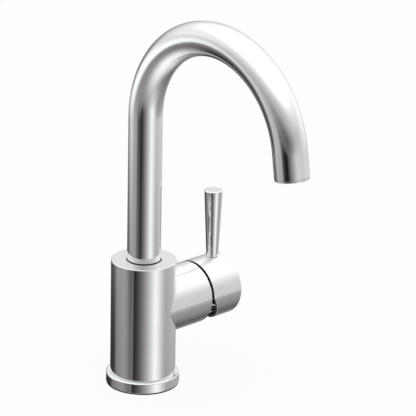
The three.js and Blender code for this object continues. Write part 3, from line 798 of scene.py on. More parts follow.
@dataclass
class Casting:
    """The body: a pillar, a side stub that runs into it over a fillet, and their hollows.

    The pillar's wall is three upright strips. The right-hand one has the oval window that the stub
    grows from, the next one has the hole of the retaining screw, and the last one is plain.
    """

    radius: float = 24.66
    bottom: float = RING_TOP
    bottom_edge: float = 0.2
    top: float = 99.2
    top_edge: float = 0.6
    socket_radius: float = 13.2
    socket_floor: float = 63.2
    socket_edge: float = 0.35
    foot_radius: float = 21.61
    foot_bottom: float = 5.2
    shank_hole: float = SHANK_HOLE
    shank_hole_top: float = 22.5
    wall_low: float = 10.0  # of the wall's strips
    wall_high: float = 98.0
    stub_radius: float = 24.0
    stub_end: float = 49.4
    stub_edge: float = 0.8
    stub_lip: float = 2.0  # the last of the stub's wall, which belongs to the outline of its end
    fillet: float = 1.2
    nut_hole: float = 19.3
    nut_hole_edge: float = 0.2
    chamber_radius: float = 17.8
    chamber_floor: float = 16.1
    shoulder: float = 39.3
    screw_height: float = 86.05
    screw_hole: float = 2.3
    screw_floor: float = 13.6
    screw_patch: float = 6.0  # how far the hole's part of the strip reaches up and down
    window_angle: float = 80.0  # half the right-hand strip
    rows: int = 64
    columns: tuple[int, int, int] = (72, 12, 84)  # of the three strips
    window_rows: int = 24  # between the window and the edge of its strip
    hole_rows: int = 8  # round the screw's hole
    stub_rows: int = 12
    fillet_rows: int = 9

    @property
    def stub_axis(self) -> Axis:
        """The stub's axis. Its angles run from the top towards -y."""
        return Axis((0, 0, AXIS_HEIGHT), (1, 0, 0), (0, 0, 1))

    def _window(self, skin: Skin, edge: Line, rim: Line, rows: int) -> None:
        """The wall between a border and the rim of a hole: straight lines on the unrolled wall."""
        share = np.linspace(0, 1, rows)[:, None]
        skin.wall(UPRIGHT, self.radius, lerp(rim[0], edge[0], share), lerp(rim[1], edge[1], share))

    def _fillet(self, skin: Skin, around: np.ndarray) -> np.ndarray:
        """Adds the fillet that a ball leaves as it rolls along the corner of stub and pillar.

        Args:
            skin: The body's skin.
            around: Angles round the stub's axis, from the top towards +y.

        Returns:
            How far out along the stub the fillet ends, at each angle.
        """
        far, near = self.radius + self.fillet, self.stub_radius + self.fillet
        y, z = near * np.sin(around), near * np.cos(around)
        x = np.sqrt(far**2 - y**2)
        centre = np.stack([x, y, z + AXIS_HEIGHT], -1)
        to_pillar = -np.stack([x, y, 0 * x], -1) / far
        to_stub = -np.stack([0 * x, np.sin(around), np.cos(around)], -1)
        share = np.linspace(0, 1, self.fillet_rows)[:, None, None]
        inward = slerp(to_pillar[None], to_stub[None], share)
        skin.patch(centre + self.fillet * inward, -inward)
        return x

    def _stub(self, skin: Skin, around: np.ndarray, start: np.ndarray) -> None:
        """Adds the stub's outside, from the fillet to its end, and the bore and chamber inside it.

        Args:
            skin: The body's skin.
            around: Angles round the stub's axis, from the top towards +y.
            start: How far out along the stub the fillet ends, at each of them.
        """
        stop = self.stub_end - self.stub_lip
        along = lerp(start[None], stop, np.linspace(0, 1, self.stub_rows)[:, None])
        skin.wall(self.stub_axis, self.stub_radius, -around[None], along)
        end = [
            (self.stub_radius, stop, 0),
            (self.stub_radius, self.stub_end, self.stub_edge),
            (self.nut_hole, self.stub_end, self.nut_hole_edge),
            (self.nut_hole, self.shoulder, 0),
            (self.chamber_radius, self.shoulder, 0),
            (self.chamber_radius, self.chamber_floor, 0),
            (0, self.chamber_floor, 0),
        ]
        skin.turned(Outline(end), self.stub_axis, -around)

    def _screw_hole(self, skin: Skin, edge: Line) -> None:
        """Adds the hole at the back for the retaining screw: its rim lies where a bar meets the wall.

        Args:
            skin: The body's skin.
            edge: The border of the wall's part that it is in.
        """
        across = (edge[0] - math.pi / 2) * self.radius
        turn = np.unwrap(np.arctan2(edge[1] - self.screw_height, -across))
        x, z = self.screw_hole * np.cos(turn), self.screw_height + self.screw_hole * np.sin(turn)
        rim = np.arccos(x / self.radius), z
        self._window(skin, edge, rim, self.hole_rows)
        depth = np.stack([self.radius * np.sin(rim[0]), np.full_like(x, self.screw_floor)])
        wall = np.stack(np.broadcast_arrays(x, depth, z), -1)
        skin.patch(wall, np.stack([-np.cos(turn), 0 * turn, -np.sin(turn)], -1))
        floor = np.stack([wall[1], np.tile([0, self.screw_floor, self.screw_height], (len(x), 1))])
        skin.patch(floor, np.array([0, 1, 0]))

    def _body(self) -> Skin:
        """Puts the casting together, strip by strip.

        The window's rim is the foot of the fillet: the ball's centre seen from the pillar's axis.

        Returns:
            The casting.
        """
        skin = Skin("body_casting")
        half = math.radians(self.window_angle)
        ends = (-half, half), (half, math.pi - half), (math.pi - half, 2 * math.pi - half)
        front, back, rest = (np.linspace(*end, count + 1) for end, count in zip(ends, self.columns))
        heights = np.linspace(self.wall_low, self.wall_high, self.rows + 1)

        low, high = np.full_like(front, self.wall_low), np.full_like(front, self.wall_high)
        edge = border(ends[0], low, high, front, np.linspace(0, 1, self.rows + 1))
        around = np.unwrap(np.arctan2(edge[0] * self.radius, edge[1] - AXIS_HEIGHT))
        far, near = self.radius + self.fillet, self.stub_radius + self.fillet
        rim = np.arcsin(near * np.sin(around) / far), AXIS_HEIGHT + near * np.cos(around)
        self._window(skin, edge, rim, self.window_rows)
        self._stub(skin, around, self._fillet(skin, around))

        reach = [self.screw_height - self.screw_patch, self.screw_height + self.screw_patch]
        under, over = np.searchsorted(heights, reach)
        low, high = np.full_like(back, heights[under]), np.full_like(back, heights[over])
        self._screw_hole(skin, border(ends[1], low, high, back, np.linspace(0, 1, over - under + 1)))
        plain = (back, heights[: under + 1]), (back, heights[over:]), (rest, heights)
        for across, upward in plain:
            skin.wall(UPRIGHT, self.radius, *np.meshgrid(across, upward))

        angles = np.concatenate([front, back[1:], rest[1:]])
        crown = [
            (self.radius, self.wall_high, 0),
            (self.radius, self.top, self.top_edge),
            (self.socket_radius, self.top, self.socket_edge),
            (self.socket_radius, self.socket_floor, 0),
            (0, self.socket_floor, 0),
        ]
        foot = [
            (0, self.shank_hole_top, 0),
            (self.shank_hole, self.shank_hole_top, 0),
            (self.shank_hole, self.foot_bottom, 0),
            (self.foot_radius, self.foot_bottom, 0),
            (self.foot_radius, self.bottom, 0),
            (self.radius, self.bottom, self.bottom_edge),
            (self.radius, self.wall_low, 0),
        ]
        skin.turned(Outline(crown), UPRIGHT, angles)
        return skin.turned(Outline(foot), UPRIGHT, angles)

    def build(self, shop: Workshop) -> None:
        """Makes the body."""
        shop.piece(self._body(), Slot.CHROME, Body.FIXED, "faucet_body")


@dataclass
class Spout:
    """The bent tube, the aerator's rim at its outlet and the black ring at its foot, which is partly painted
    shade.
    """

    radius: float = 12.7
    bore: float = 11.4
    start: float = 92.2
    bend_height: float = 211.4
    bend_radius: float = 75.1
    sweep: float = 171.8  # degrees
    tail: float = 17.5
    end_edge: float = 0.15
    stations: tuple[int, int, int] = (12, 144, 6)  # on the rise, the bend and the tail
    outlet: Point = (0.0, -152.185, 203.009)
    mouth: float = 8.4
    mouth_edge: float = 0.3
    rim_height: float = 1.5
    rim_edge: float = 0.4
    rim_back_edge: float = 0.12
    thread_radius: float = 11.1
    thread_top: float = 9.5
    housing_bore: float = 9.4
    ledge: float = 1.2
    ledge_edge: float = 0.2
    # the black ring at the tube's foot: a ring that the tube turns in, and painted shade for the gap round
    # the tube
    shade_glide_bore: float = 12.75
    shade_glide_radius: float = 12.95
    shade_glide_bottom: float = 97.7
    shade_glide_top: float = 99.8
    shade_glide_edges: Span = (0.06, 0.03)  # its outer and inner top edges

    def _line(self) -> Run:
        """Lays the tube's centre line: straight up, round the bend by arc, straight on.

        Returns:
            The points, and the directions across the tube that point away from the bend's centre.
        """
        rise, bend, tail = self.stations
        up = np.linspace(self.start, self.bend_height, rise + 1)[:-1]
        turn = np.radians(np.linspace(0, self.sweep, bend + 1))
        on = np.linspace(0, self.tail, tail + 1)[1:]
        cos, sin = np.cos(turn), np.sin(turn)
        across, upward = self.bend_radius * (cos - 1), self.bend_height + self.bend_radius * sin
        y = np.concatenate([0 * up, across, across[-1] - sin[-1] * on])
        z = np.concatenate([up, upward, upward[-1] + cos[-1] * on])
        angle = np.concatenate([0 * up, turn, np.full(tail, turn[-1])])
        return np.stack([0 * y, y, z], -1), np.stack([0 * y, np.cos(angle), np.sin(angle)], -1)

    def _tube(self) -> Skin:
        """Carries a circle along the centre line, outside and inside, and joins both at the ends.

        Returns:
            The tube.
        """
        skin = Skin("gooseneck_tube")
        line, out = self._line()
        around = full_turn()[None, :, None]
        across = np.array([1.0, 0, 0]) * np.sin(around) + out[:, None] * np.cos(around)
        skin.patch(line[:, None] + self.radius * across, across)
        skin.patch(line[:, None] + self.bore * across, -across)
        sizes = self.radius, self.radius - self.end_edge, self.bore
        for end, inner in ((0, 1), (-1, -2)):
            facing = line[end] - line[inner]
            ring = np.stack([line[end] + size * across[end] for size in sizes])
            skin.patch(ring, facing / np.linalg.norm(facing))
        return skin

    def _rim(self) -> Skin:
        """Turns the aerator's housing about the tail's own axis.

        Returns:
            The housing.
        """
        lean = math.radians(self.sweep - 180)
        axis = Axis(self.outlet, (0, -math.sin(lean), math.cos(lean)), (1, 0, 0))
        corners = [
            (self.mouth, 0, self.mouth_edge),
            (self.radius, 0, self.rim_edge),
            (self.radius, self.rim_height, self.rim_back_edge),
            (self.thread_radius, self.rim_height, 0),
            (self.thread_radius, self.thread_top, 0),
            (self.housing_bore, self.thread_top, 0),
            (self.housing_bore, self.ledge, 0),
            (self.mouth, self.ledge, self.ledge_edge),
        ]
        return Skin("aerator_rim").turned(Outline(corners, closed=True), axis, full_turn())

    def _glide_shade_ring(self) -> Skin:
        """Turns the thin ring that the tube turns in, a little proud of the body's top. Its black is also
        painted shade, standing for the dark gap round the tube's foot.

        Returns:
            The ring.
        """
        corners = [
            (self.shade_glide_bore, self.shade_glide_bottom, 0),
            (self.shade_glide_radius, self.shade_glide_bottom, 0),
            (self.shade_glide_radius, self.shade_glide_top, self.shade_glide_edges[0]),
            (self.shade_glide_bore, self.shade_glide_top, self.shade_glide_edges[1]),
        ]
        return Skin("spout_glide_shade_ring").turned(Outline(corners, closed=True), UPRIGHT, full_turn())

    def build(self, shop: Workshop) -> None:
        """Makes the spout, with the duller finish of its bend.

        Args:
            shop: Where it is made.
        """
        finish = BendFinish(*astuple(CHROME), centre=(-self.bend_radius, self.bend_height))
        tube = shop.piece(self._tube(), Slot.CHROME, Body.SPOUT, "spout_tube")
        tube.data.materials[0] = finish.material()
        shop.piece(self._rim(), Slot.CHROME, Body.SPOUT, "aerator_housing")
        # a black ring at the tube's foot, also painted shade for the gap round the tube
        shop.piece(self._glide_shade_ring(), Slot.BLACK_PLASTIC, Body.FIXED)


@dataclass(frozen=True)
class HubWall:
    """One of the hub's two round walls.

    Fields:
        radius: Its radius.
        way: 1 for the outer wall and -1 for the inner one.
        past: How far behind the rim it starts.
        stop: Where it ends along the hub's axis.
    """

    radius: float
    way: float
    past: float
    stop: float


@dataclass
class Handle:
    """The hollow hub with its relieved lower rim and a black ring of painted shade in it, the upright lever,
    and the bonnet behind the hub.
    """

    radius: float = 24.0
    bore: float = 21.8
    start: float = 51.3
    end: float = 80.3
    end_edge: float = 1.0
    end_lip: float = 2.0  # the last of the outer wall, which belongs to the outline of the end
    cavity_end: float = 77.8
    rim_edge: float = 0.12
    relief_angle: float = 26.5  # degrees
    relief_rise: float = 1.0
    lip: float = 0.28  # of metal, outside the rim's black ring of painted shade
    lip_shift: float = 0.12  # how much thinner it is at the top, and thicker below
    # the recess in the rim and its black ring, which is painted shade for the unlit inside of the hub
    shade_liner_depth: float = 2.4
    shade_liner_play: float = 0.05
    boss_radius: float = 8.0
    boss_start: float = 60.0
    boss_edge: float = 0.3
    lever_boss_radius: float = 5.5
    lever_boss_rise: float = 6.0  # of its lower end over the hub's axis
    lever_boss_wall: float = 0.6  # between its upper end and the sink
    lever_at: float = 71.05
    sink_radius: float = 4.8
    sink_floor: float = 83.2
    screw_at: float = 68.0
    screw_hole: float = 2.8
    lever_foot: float = 83.5
    lever_foot_radius: float = 4.5
    lever_foot_edge: float = 0.3
    lever_top: float = 137.9
    lever_top_radius: float = 7.0
    lever_edge: float = 1.0
    stud_radius: float = 3.0
    stud_bottom: float = 72.8
    stud_edge: float = 0.3
    bonnet_centre: float = 42.0
    bonnet_start: float = 45.9
    bonnet_skirt: float = 19.0
    bonnet_dome: float = 20.0
    bonnet_wall: float = 1.6
    bonnet_opening: float = 53.0  # degrees from the axis
    top_half: float = 24.0  # degrees: half the strip with the lever's sink
    bottom_half: float = 16.0  # degrees: half the strip with the screw's hole
    columns: tuple[int, int, int, int] = (32, 70, 24, 70)  # of the top, right, bottom and left strips
    rows: int = 24
    hole_rows: int = 10  # round the sink and the screw's hole
    edge_rows: int = 6  # of the rim's softened edge
    dome_rows: int = 16
    shade_liner_sides: int = 240
    boss_sides: int = 48

    @property
    def axis(self) -> Axis:
        """The hub's axis. Its angles run from the top towards -y."""
        return Axis((0, 0, AXIS_HEIGHT), (1, 0, 0), (0, 0, 1))

    @property
    def lever_axis(self) -> Axis:
        """The lever's axis, straight up through the hub."""
        return Axis((self.lever_at, 0, 0), (0, 0, 1), (1, 0, 0))

    def _rim_at(self, radius: float, angle: np.ndarray) -> np.ndarray:
        """Where the rim lies along the axis: a slanted plane cuts it back below the relief's rise."""
        drop = self.relief_rise - radius * np.cos(angle)
        return self.start + np.maximum(drop, 0) * math.tan(math.radians(self.relief_angle))

    def _rim_normal(self, angle: np.ndarray) -> np.ndarray:
        """Finds the rim's normals: straight back above the relief's rise, square to the slant below it.

        Args:
            angle: Angles from the top towards +y.

        Returns:
            The normal at each of them.
        """
        slant = math.tan(math.radians(self.relief_angle))
        slant = slant * (np.cos(angle) * self.radius < self.relief_rise)
        size = np.sqrt(1 + slant**2)
        return np.stack([-1 / size, 0 * size, -slant / size], -1)

    def _recess_radius(self, angle: np.ndarray) -> np.ndarray:
        """The outer radius of the recess in the rim, which is turned a little off the hub's axis."""
        return self.radius - self.lip + self.lip_shift * np.cos(angle)

    def _strip(self, skin: Skin, wall: HubWall, angle: np.ndarray) -> None:
        """Adds a plain strip of a wall, from the rim's line to where the wall stops.

        Args:
            skin: The hub's skin.
            wall: The wall that it is of.
            angle: The strip's angles.
        """
        share = np.linspace(0, 1, self.rows + 1)[:, None]
        along = lerp((self._rim_at(wall.radius, angle) + wall.past)[None], wall.stop, share)
        skin.wall(self.axis, wall.radius, -angle[None] + 0 * along, along, wall.way)

    def _pierced(
        self, skin: Skin, wall: HubWall, angle: np.ndarray, hole: Ring, turn: np.ndarray | None = None
    ) -> Run:
        """Adds a strip of a wall with a round hole drilled square to it, through the strip's middle.

        Args:
            skin: The hub's skin.
            wall: The wall that it is of.
            angle: The strip's angles.
            hole: The hole's radius, and where its axis lies along the hub.
            turn: Angles round the hole of its rim's points, where another wall has set them.

        Returns:
            The points of the hole's rim, and their angles round the hole.
        """
        size, at = hole
        middle = (angle[0] + angle[-1]) / 2
        low = self._rim_at(wall.radius, angle) + wall.past
        high = np.full_like(low, wall.stop)
        edge = border((angle[0], angle[-1]), low, high, angle, np.linspace(0, 1, self.rows + 1))
        if turn is None:
            turn = np.arctan2((edge[0] - middle) * wall.radius, edge[1] - at)
        rim = middle + np.arcsin(size * np.sin(turn) / wall.radius), at + size * np.cos(turn)
        share = np.linspace(0, 1, self.hole_rows)[:, None]
        turned, along = -lerp(rim[0], edge[0], share), lerp(rim[1], edge[1], share)
        skin.wall(self.axis, wall.radius, turned, along, wall.way)
        return self.axis.place(wall.radius, -rim[0], rim[1]), turn

    def _hub(self) -> Skin:
        """Puts the hub together: its walls strip by strip, its rim, end faces and bosses.

        Returns:
            The hub.
        """
        skin = Skin("handle_hub_shell")
        ends = (-self.top_half, self.top_half, 180 - self.bottom_half, 180 + self.bottom_half)
        ends = zip(ends, (*ends[1:], 360 - self.top_half), self.columns)
        strips = [np.radians(np.linspace(start, stop, count + 1)) for start, stop, count in ends]
        top, right, bottom, left = strips
        whole = np.concatenate([top] + [strip[1:] for strip in strips[1:]])
        outer = HubWall(self.radius, 1.0, self.rim_edge, self.end - self.end_lip)
        inner = HubWall(self.bore, -1.0, self.shade_liner_depth, self.cavity_end)

        rim, turn = self._pierced(skin, outer, top, (self.sink_radius, self.lever_at))
        floor = rim * np.array([1.0, 1.0, 0.0]) + np.array([0.0, 0.0, self.sink_floor])
        skin.patch(np.stack([rim, floor]), -np.stack([np.cos(turn), np.sin(turn), 0 * turn], -1))
        centre = np.tile([self.lever_at, 0.0, self.sink_floor], (len(rim), 1))
        skin.patch(np.stack([floor, centre]), np.array([0.0, 0.0, 1.0]))

        hole = self.screw_hole, self.screw_at
        rim, turn = self._pierced(skin, outer, bottom, hole)
        inside, _ = self._pierced(skin, inner, bottom, hole, turn)
        skin.patch(np.stack([rim, inside]), -np.stack([np.cos(turn), -np.sin(turn), 0 * turn], -1))

        for wall, plain in ((outer, (right, left)), (inner, (top, right, left))):
            for strip in plain:
                self._strip(skin, wall, strip)
        self._rim(skin, whole)

        end = [(self.radius, outer.stop, 0), (self.radius, self.end, self.end_edge), (0, self.end, 0)]
        cavity = [
            (0, self.boss_start, 0),
            (self.boss_radius, self.boss_start, self.boss_edge),
            (self.boss_radius, self.cavity_end, 0),
            (self.bore, self.cavity_end, 0),
        ]
        foot, head = AXIS_HEIGHT + self.lever_boss_rise, self.sink_floor - self.lever_boss_wall
        size = self.lever_boss_radius
        boss = [(0, foot, 0), (size, foot, 0), (size, head, 0), (0, head, 0)]
        skin.turned(Outline(end, steps=8), self.axis, -whole)
        skin.turned(Outline(cavity), self.axis, -whole)
        return skin.turned(Outline(boss), self.lever_axis, full_turn(self.boss_sides))

    def _band(self, skin: Skin, angle: np.ndarray, start: Ring, stop: Ring, way: float) -> None:
        """Adds a band between two lines that follow the rim.

        A line's point is at the rim's own place for the line's radius, plus its distance. The band's
        normal is the rim's where the distances are the same, and else points along the radius.

        Args:
            skin: The skin that it is of.
            angle: Its angles, from the top towards +y.
            start: The radius of its first line, and the distance of that behind the rim.
            stop: The same of its last line.
            way: 1 where it faces out of the rim or out from the axis, else -1.
        """
        lines = [self.axis.place(r, -angle, self._rim_at(r, angle) + far) for r, far in (start, stop)]
        if start[1] == stop[1]:
            normal = way * self._rim_normal(angle)
        else:
            normal = self.axis.turn(way, -angle, 0 * angle)
        skin.patch(np.stack(lines), normal)

    def _rim(self, skin: Skin, angle: np.ndarray) -> None:
        """Adds the rim: its outer edge, a curve with the corner as its control point, and the recess.

        Args:
            skin: The hub's skin.
            angle: Angles from the top towards +y.
        """
        inside = self.radius - self.rim_edge
        outward = self.axis.turn(1.0, -angle, 0 * angle)
        corner = self.axis.place(self.radius, -angle, self._rim_at(self.radius, angle))
        first = self.axis.place(self.radius, -angle, self._rim_at(self.radius, angle) + self.rim_edge)
        second = self.axis.place(inside, -angle, self._rim_at(inside, angle))
        t = np.linspace(0, 1, self.edge_rows)[:, None, None]
        curve = (1 - t) ** 2 * first + 2 * t * (1 - t) * corner + t**2 * second
        skin.patch(curve, slerp(outward[None], self._rim_normal(angle)[None], t))
        lip = self._recess_radius(angle)
        self._band(skin, angle, (inside, 0.0), (lip, 0.0), 1.0)
        self._band(skin, angle, (lip, 0.0), (lip, self.shade_liner_depth), -1.0)
        self._band(skin, angle, (lip, self.shade_liner_depth), (self.bore, self.shade_liner_depth), 1.0)

    def _shade_liner(self) -> Skin:
        """Fits the black ring that fills the recess in the hub's rim: painted shade, standing for the unlit
        inside of the hub behind its thin chrome rim.

        Returns:
            The ring.
        """
        angle = full_turn(self.shade_liner_sides)
        play, depth = self.shade_liner_play, self.shade_liner_depth - self.shade_liner_play
        outside, inside = self._recess_radius(angle) - play, self.bore
        skin = Skin("hub_rim_shade_liner")
        self._band(skin, angle, (outside, play), (inside, play), 1.0)
        self._band(skin, angle, (inside, play), (inside, depth), -1.0)
        self._band(skin, angle, (inside, depth), (outside, depth), -1.0)
        self._band(skin, angle, (outside, depth), (outside, play), 1.0)
        return skin

    def _lever(self) -> Skin:
        """Turns the tapered lever and the stud under it.

        Returns:
            The lever.
        """
        corners = [
            (0, self.stud_bottom, 0),
            (self.stud_radius, self.stud_bottom, self.stud_edge),
            (self.stud_radius, self.lever_foot, 0),
            (self.lever_foot_radius, self.lever_foot, self.lever_foot_edge),
            (self.lever_top_radius, self.lever_top, self.lever_edge),
            (0, self.lever_top, 0),
        ]
        return Skin("lever_rod").turned(Outline(corners, steps=7), self.lever_axis, full_turn())

    def _zone(self, radius: float, skirt: float) -> Run:
        """Bends a sphere's outline, from the skirt to the opening round the boss.

        Args:
            radius: The sphere's.
            skirt: The skirt's.

        Returns:
            The outline's points and normals.
        """
        opening = math.radians(90 - self.bonnet_opening)
        angle = np.linspace(math.acos(skirt / radius), opening, self.dome_rows)
        normals = np.stack([np.cos(angle), np.sin(angle)], -1)
        return normals * radius + np.array([0, self.bonnet_centre]), normals

    def _bonnet(self) -> Skin:
        """Turns the dome over the cartridge: a sphere's zone on a short skirt, with an even wall.

        Returns:
            The bonnet.
        """
        skirt = self.bonnet_skirt - self.bonnet_wall
        outer = self._zone(self.bonnet_dome, self.bonnet_skirt)
        inner = self._zone(self.bonnet_dome - self.bonnet_wall, skirt)
        foot = [
            (*inner[0][0], 0),
            (skirt, self.bonnet_start, 0),
            (self.bonnet_skirt, self.bonnet_start, 0),
            (*outer[0][0], 0),
        ]
        lip = [(*outer[0][-1], 0), (*inner[0][-1], 0)]
        runs = [outer, (inner[0], -inner[1]), *Outline(lip).runs, *Outline(foot).runs]
        return Skin("valve_bonnet").carried(runs, self.axis, full_turn())

    def build(self, shop: Workshop) -> None:
        """Makes the handle and the bonnet.

        Args:
            shop: Where they are made.
        """
        shop.piece(self._hub(), Slot.CHROME, Body.HANDLE, "handle_hub")
        # a black ring in the rim: painted shade for the unlit inside of the hub
        shop.piece(self._shade_liner(), Slot.BLACK_PLASTIC, Body.HANDLE, "handle_hub")
        shop.piece(self._lever(), Slot.CHROME, Body.HANDLE, "lever")
        shop.piece(self._bonnet(), Slot.BLACK_PLASTIC, Body.FIXED, "cartridge_bonnet")


# ---------------------------------------------------------------- studio


@dataclass(frozen=True)
class Pool:
    """A pool of light or shade in the studio, without edges, seen only in the metal.

    Fields:
        name: What it is.
        azimuth: The middle of it, in degrees from +x towards +y.
        elevation: The middle of it, in degrees above the horizon.
        width: How far it spreads sideways.
        height: How far it spreads up and down.
        level: Its brightness, where 1 is white paper.
    """

    name: str
    azimuth: float
    elevation: float
    width: float
    height: float
    level: float

    def share(self, azimuth: Signal, elevation: Signal) -> Signal:
        """Says how much of it is seen: e to minus half the squares of the distances over its size.

        Args:
            azimuth: Of the direction looked in, in degrees.
            elevation: Of the same.

        Returns:
            From 0 to 1.
        """
        across = (azimuth - self.azimuth).wrapped() * (1 / self.width)
        upward = (elevation - self.elevation) * (1 / self.height)
        return ((across * across + upward * upward) * -0.5).math("EXPONENT")

    def tone(self, azimuth: Signal) -> float:
        """Its brightness, the same all over."""
        return self.level


@dataclass(frozen=True)
class Board:
    """A board, a flag or a softbox with edges, seen only in the metal.

    Fields:
        name: What it is.
        left: The azimuth of its first edge, in degrees.
        right: The azimuth of its last edge.
        low: The elevation of its lower edge.
        high: The elevation of its upper edge.
        fade: How far the left, right, lower and upper edges fade to either side.
        start: Its brightness at the first edge.
        stop: Its brightness at the last edge.
    """

    name: str
    left: float
    right: float
    low: float
    high: float
    fade: tuple[float, float, float, float]
    start: float
    stop: float

    def _across(self, azimuth: Signal) -> Signal:
        """Degrees from the board's middle."""
        return (azimuth - (self.left + self.right) / 2).wrapped()

    def share(self, azimuth: Signal, elevation: Signal) -> Signal:
        """Says how much of it is seen: the product of a smooth step at each of its four edges.

        Args:
            azimuth: Of the direction looked in, in degrees.
            elevation: Of the same.

        Returns:
            From 0 to 1.
        """
        across, half = self._across(azimuth), (self.right - self.left) / 2
        left, right, low, high = self.fade
        sides = across.rising(-half - left, -half + left) * across.falling(half - right, half + right)
        lower = elevation.rising(self.low - low, self.low + low)
        return sides * lower * elevation.falling(self.high - high, self.high + high)

    def tone(self, azimuth: Signal) -> Signal:
        """Its brightness, which changes with the square of the distance from the first edge."""
        way = self._across(azimuth) * (1 / (self.right - self.left)) + 0.5
        way = way.math("MAXIMUM", 0.0).math("MINIMUM", 1.0)
        return way * way * (self.stop - self.start) + self.start


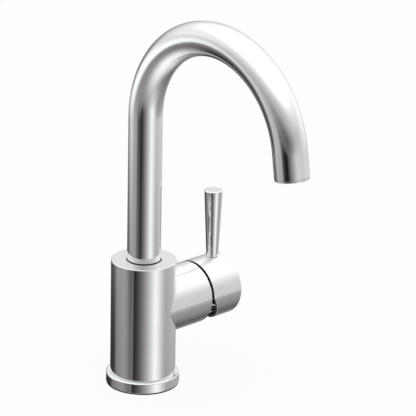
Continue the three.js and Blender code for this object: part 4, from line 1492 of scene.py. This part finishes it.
@dataclass
class Studio:
    """The plain white studio: world, floor and camera.

    Elevations and azimuths are in degrees, and a brightness of 1 is white paper. The metal sees a
    table, its shaded far side, a wall and a ceiling, and the furniture in front of them in this order.
    """

    table_level: float = 1.15
    shade_level: float = 0.34
    wall_level: float = 0.62
    ceiling_level: float = 1.3
    shade_onset: Span = (-72.0, -32.0)
    wall_onset: Span = (-25.0, -12.0)
    ceiling_onset: Span = (8.0, 45.0)
    darkest: float = 0.01
    furniture: tuple[Pool | Board, ...] = (
        Pool("grey ceiling at the left", -138, 24, 38, 9, 0.65),
        Pool("grey wall at the left", -144, 1, 36, 12, 0.13),
        Pool("white wall at the right", -3, 14, 27, 19, 1.2),
        Pool("pale wall behind", 118, 19, 26, 10, 1.0),
        Pool("dark corner behind", -177, -15, 10, 8, 0.05),
        Pool("dark floor at the right", 10, -54, 50, 12, 0.07),
        Pool("pale skirting at the right", -8, -14, 26, 4, 0.75),
        Pool("grey table in front", -50, -65, 48, 11, 0.25),
        Pool("strip light in front", -90, -26, 19, 15, 1.08),
        Pool("dark floor behind", 102, -37, 25, 11, 0.03),
        Board("dark board beside the softbox", 50, 111, -42, -19.5, (2, 10, 8, 4), 0.04, 0.04),
        Board("grey door behind", 50, 88, -14, 4, (2, 12, 6, 10), 0.22, 0.22),
        Board("graduated flag at the left", -168, -90, -30, -8, (1.2, 10, 6, 5), 0.03, 1.12),
        Board("softbox behind", 97, 137, -18, 1, (7, 8, 4.5, 9), 1.15, 1.15),
        Pool("dark gap over the flag", -160, -12, 13, 4, 0.0),
    )
    dark_tint: Rgb = (1.0, 0.955, 0.95)
    bright_tint: Rgb = (0.985, 0.997, 1.0)
    tint_onset: Span = (0.05, 0.8)  # the brightnesses between which one turns into the other
    plain_level: float = 0.9  # of the light on what isn't metal
    floor_radius: float = 6.0  # metres
    floor_hole: float = 0.0165  # metres
    floor_sides: int = 64
    floor_paper: float = 0.95
    floor_white: float = 0.9  # of what the camera sees of the floor, the rest is its shade
    azimuth: float = -44.0
    elevation: float = 20.0
    roll: float = 1.14
    distance: float = 2.1363  # metres, from the point that the camera looks at
    shift_right: float = 0.0472  # metres, of that point
    shift_up: float = 0.14073  # metres
    lens: float = 248.6
    sensor: float = 36.0
    clip: Span = (0.05, 50.0)  # metres

    def _furnished(self, azimuth: Signal, elevation: Signal) -> Signal:
        """Works out how bright the studio is: from the table up to the ceiling, then thing by thing.

        Args:
            azimuth: Of the direction looked in, in degrees.
            elevation: Of the same.

        Returns:
            The brightness.
        """
        shade = self.shade_level - self.table_level
        level = elevation.rising(*self.shade_onset) * shade + self.table_level
        level = level.towards(self.wall_level, elevation.rising(*self.wall_onset))
        level = level.towards(self.ceiling_level, elevation.rising(*self.ceiling_onset))
        for thing in self.furniture:
            level = level.towards(thing.tone(azimuth), thing.share(azimuth, elevation))
        return level.math("MAXIMUM", self.darkest)

    def world(self) -> None:
        """The studio as the metal sees it, by direction; plain white to the camera, and plain light."""
        world = bpy.data.worlds.new("studio")
        world.use_nodes = True
        bpy.context.scene.world = world
        net = Net(world.node_tree)
        ray = net.node("ShaderNodeTexCoord", {}, {}, "Generated")
        split = net.node("ShaderNodeSeparateXYZ", {}, {0: ray})
        azimuth = split.beside("Y").math("ARCTAN2", split) * DEGREE
        level = self._furnished(azimuth, split.beside("Z").math("ARCSINE") * DEGREE)
        tint = net.mix(level.rising(*self.tint_onset), (*self.dark_tint, 1.0), (*self.bright_tint, 1.0))
        studio = net.node("ShaderNodeVectorMath", {"operation": "SCALE"}, {0: tint, "Scale": level})

        seen = net.node("ShaderNodeLightPath", {}, {}, "Is Camera Ray")
        metal = seen.beside("Is Glossy Ray") + seen.beside("Is Transmission Ray")
        light = net.mix(metal, (self.plain_level,) * 3 + (1.0,), studio)
        shown = net.mix(seen, light, (1.0, 1.0, 1.0, 1.0))
        background = net.node("ShaderNodeBackground", {}, {"Color": shown, "Strength": 1.0})
        net.node("ShaderNodeOutputWorld", {}, {"Surface": background})

    def _floor_material(self) -> bpy.types.Material:
        """Mixes white paper and white light for the camera, and nothing for a look from below.

        Returns:
            The material.
        """
        made = bpy.data.materials.new("white_floor")
        made.use_nodes = True
        net = Net(made.node_tree)
        camera = net.node("ShaderNodeLightPath", {}, {}, "Is Camera Ray")
        paper = net.node("ShaderNodeBsdfDiffuse", {}, {"Color": (self.floor_paper,) * 3 + (1.0,)})
        lit = net.node("ShaderNodeEmission", {}, {"Color": (1, 1, 1, 1), "Strength": 1.0})
        white = net.node("ShaderNodeMixShader", {}, {0: camera * self.floor_white, 1: paper, 2: lit})
        clear = net.node("ShaderNodeBsdfTransparent")
        under = net.node("ShaderNodeNewGeometry", {}, {}, "Backfacing")
        shader = net.node("ShaderNodeMixShader", {}, {0: under, 1: white, 2: clear})
        net.node("ShaderNodeOutputMaterial", {}, {"Surface": shader})
        return made

    def floor(self) -> None:
        """The white floor, a flat ring round the shank, with the faucet's shadow on it.

        The metal sees the studio's table in its place. Seen from below it lets everything through.
        """
        radius = np.array([[self.floor_hole], [self.floor_radius]]) / MM
        points = UPRIGHT.place(radius, full_turn(self.floor_sides)[None], 0 * radius)
        floor = Skin("white_floor").patch(points, np.array([0.0, 0.0, 1.0])).thing()
        floor.visible_glossy = False
        floor.data.materials.append(self._floor_material())

    def camera(self) -> None:
        """The camera at the photograph's angle: it looks along minus back at a point beside the axis."""
        a, e, r = (math.radians(value) for value in (self.azimuth, self.elevation, self.roll))
        right = Vector((math.cos(a), math.sin(a), 0))
        back = Vector((math.sin(a) * math.cos(e), -math.cos(a) * math.cos(e), math.sin(e)))
        up = back.cross(right)
        across = right * math.cos(r) + up * math.sin(r)
        above = up * math.cos(r) - right * math.sin(r)
        place = right * self.shift_right + Vector((0, 0, self.shift_up)) + back * self.distance
        data = bpy.data.cameras.new("camera")
        data.sensor_width, data.lens = self.sensor, self.lens
        data.clip_start, data.clip_end = self.clip
        camera = bpy.data.objects.new("camera", data)
        bpy.context.scene.collection.objects.link(camera)
        camera.matrix_world = Matrix.Translation(place) @ Matrix((across, above, back)).transposed().to_4x4()
        bpy.context.scene.camera = camera

    def build(self) -> None:
        """Makes the world, the floor and the camera."""
        bpy.context.scene.view_settings.view_transform = "Standard"
        self.world()
        self.floor()
        self.camera()


def main() -> None:
    """Builds the faucet and its studio."""
    logging.basicConfig(level=logging.INFO, format="%(name)s: %(message)s")
    Studio().build()
    shop = Workshop()
    shop.dress_nodes()
    for part in (Base(), Casting(), Spout(), Handle()):
        part.build(shop)


if __name__ == "__main__":
    main()
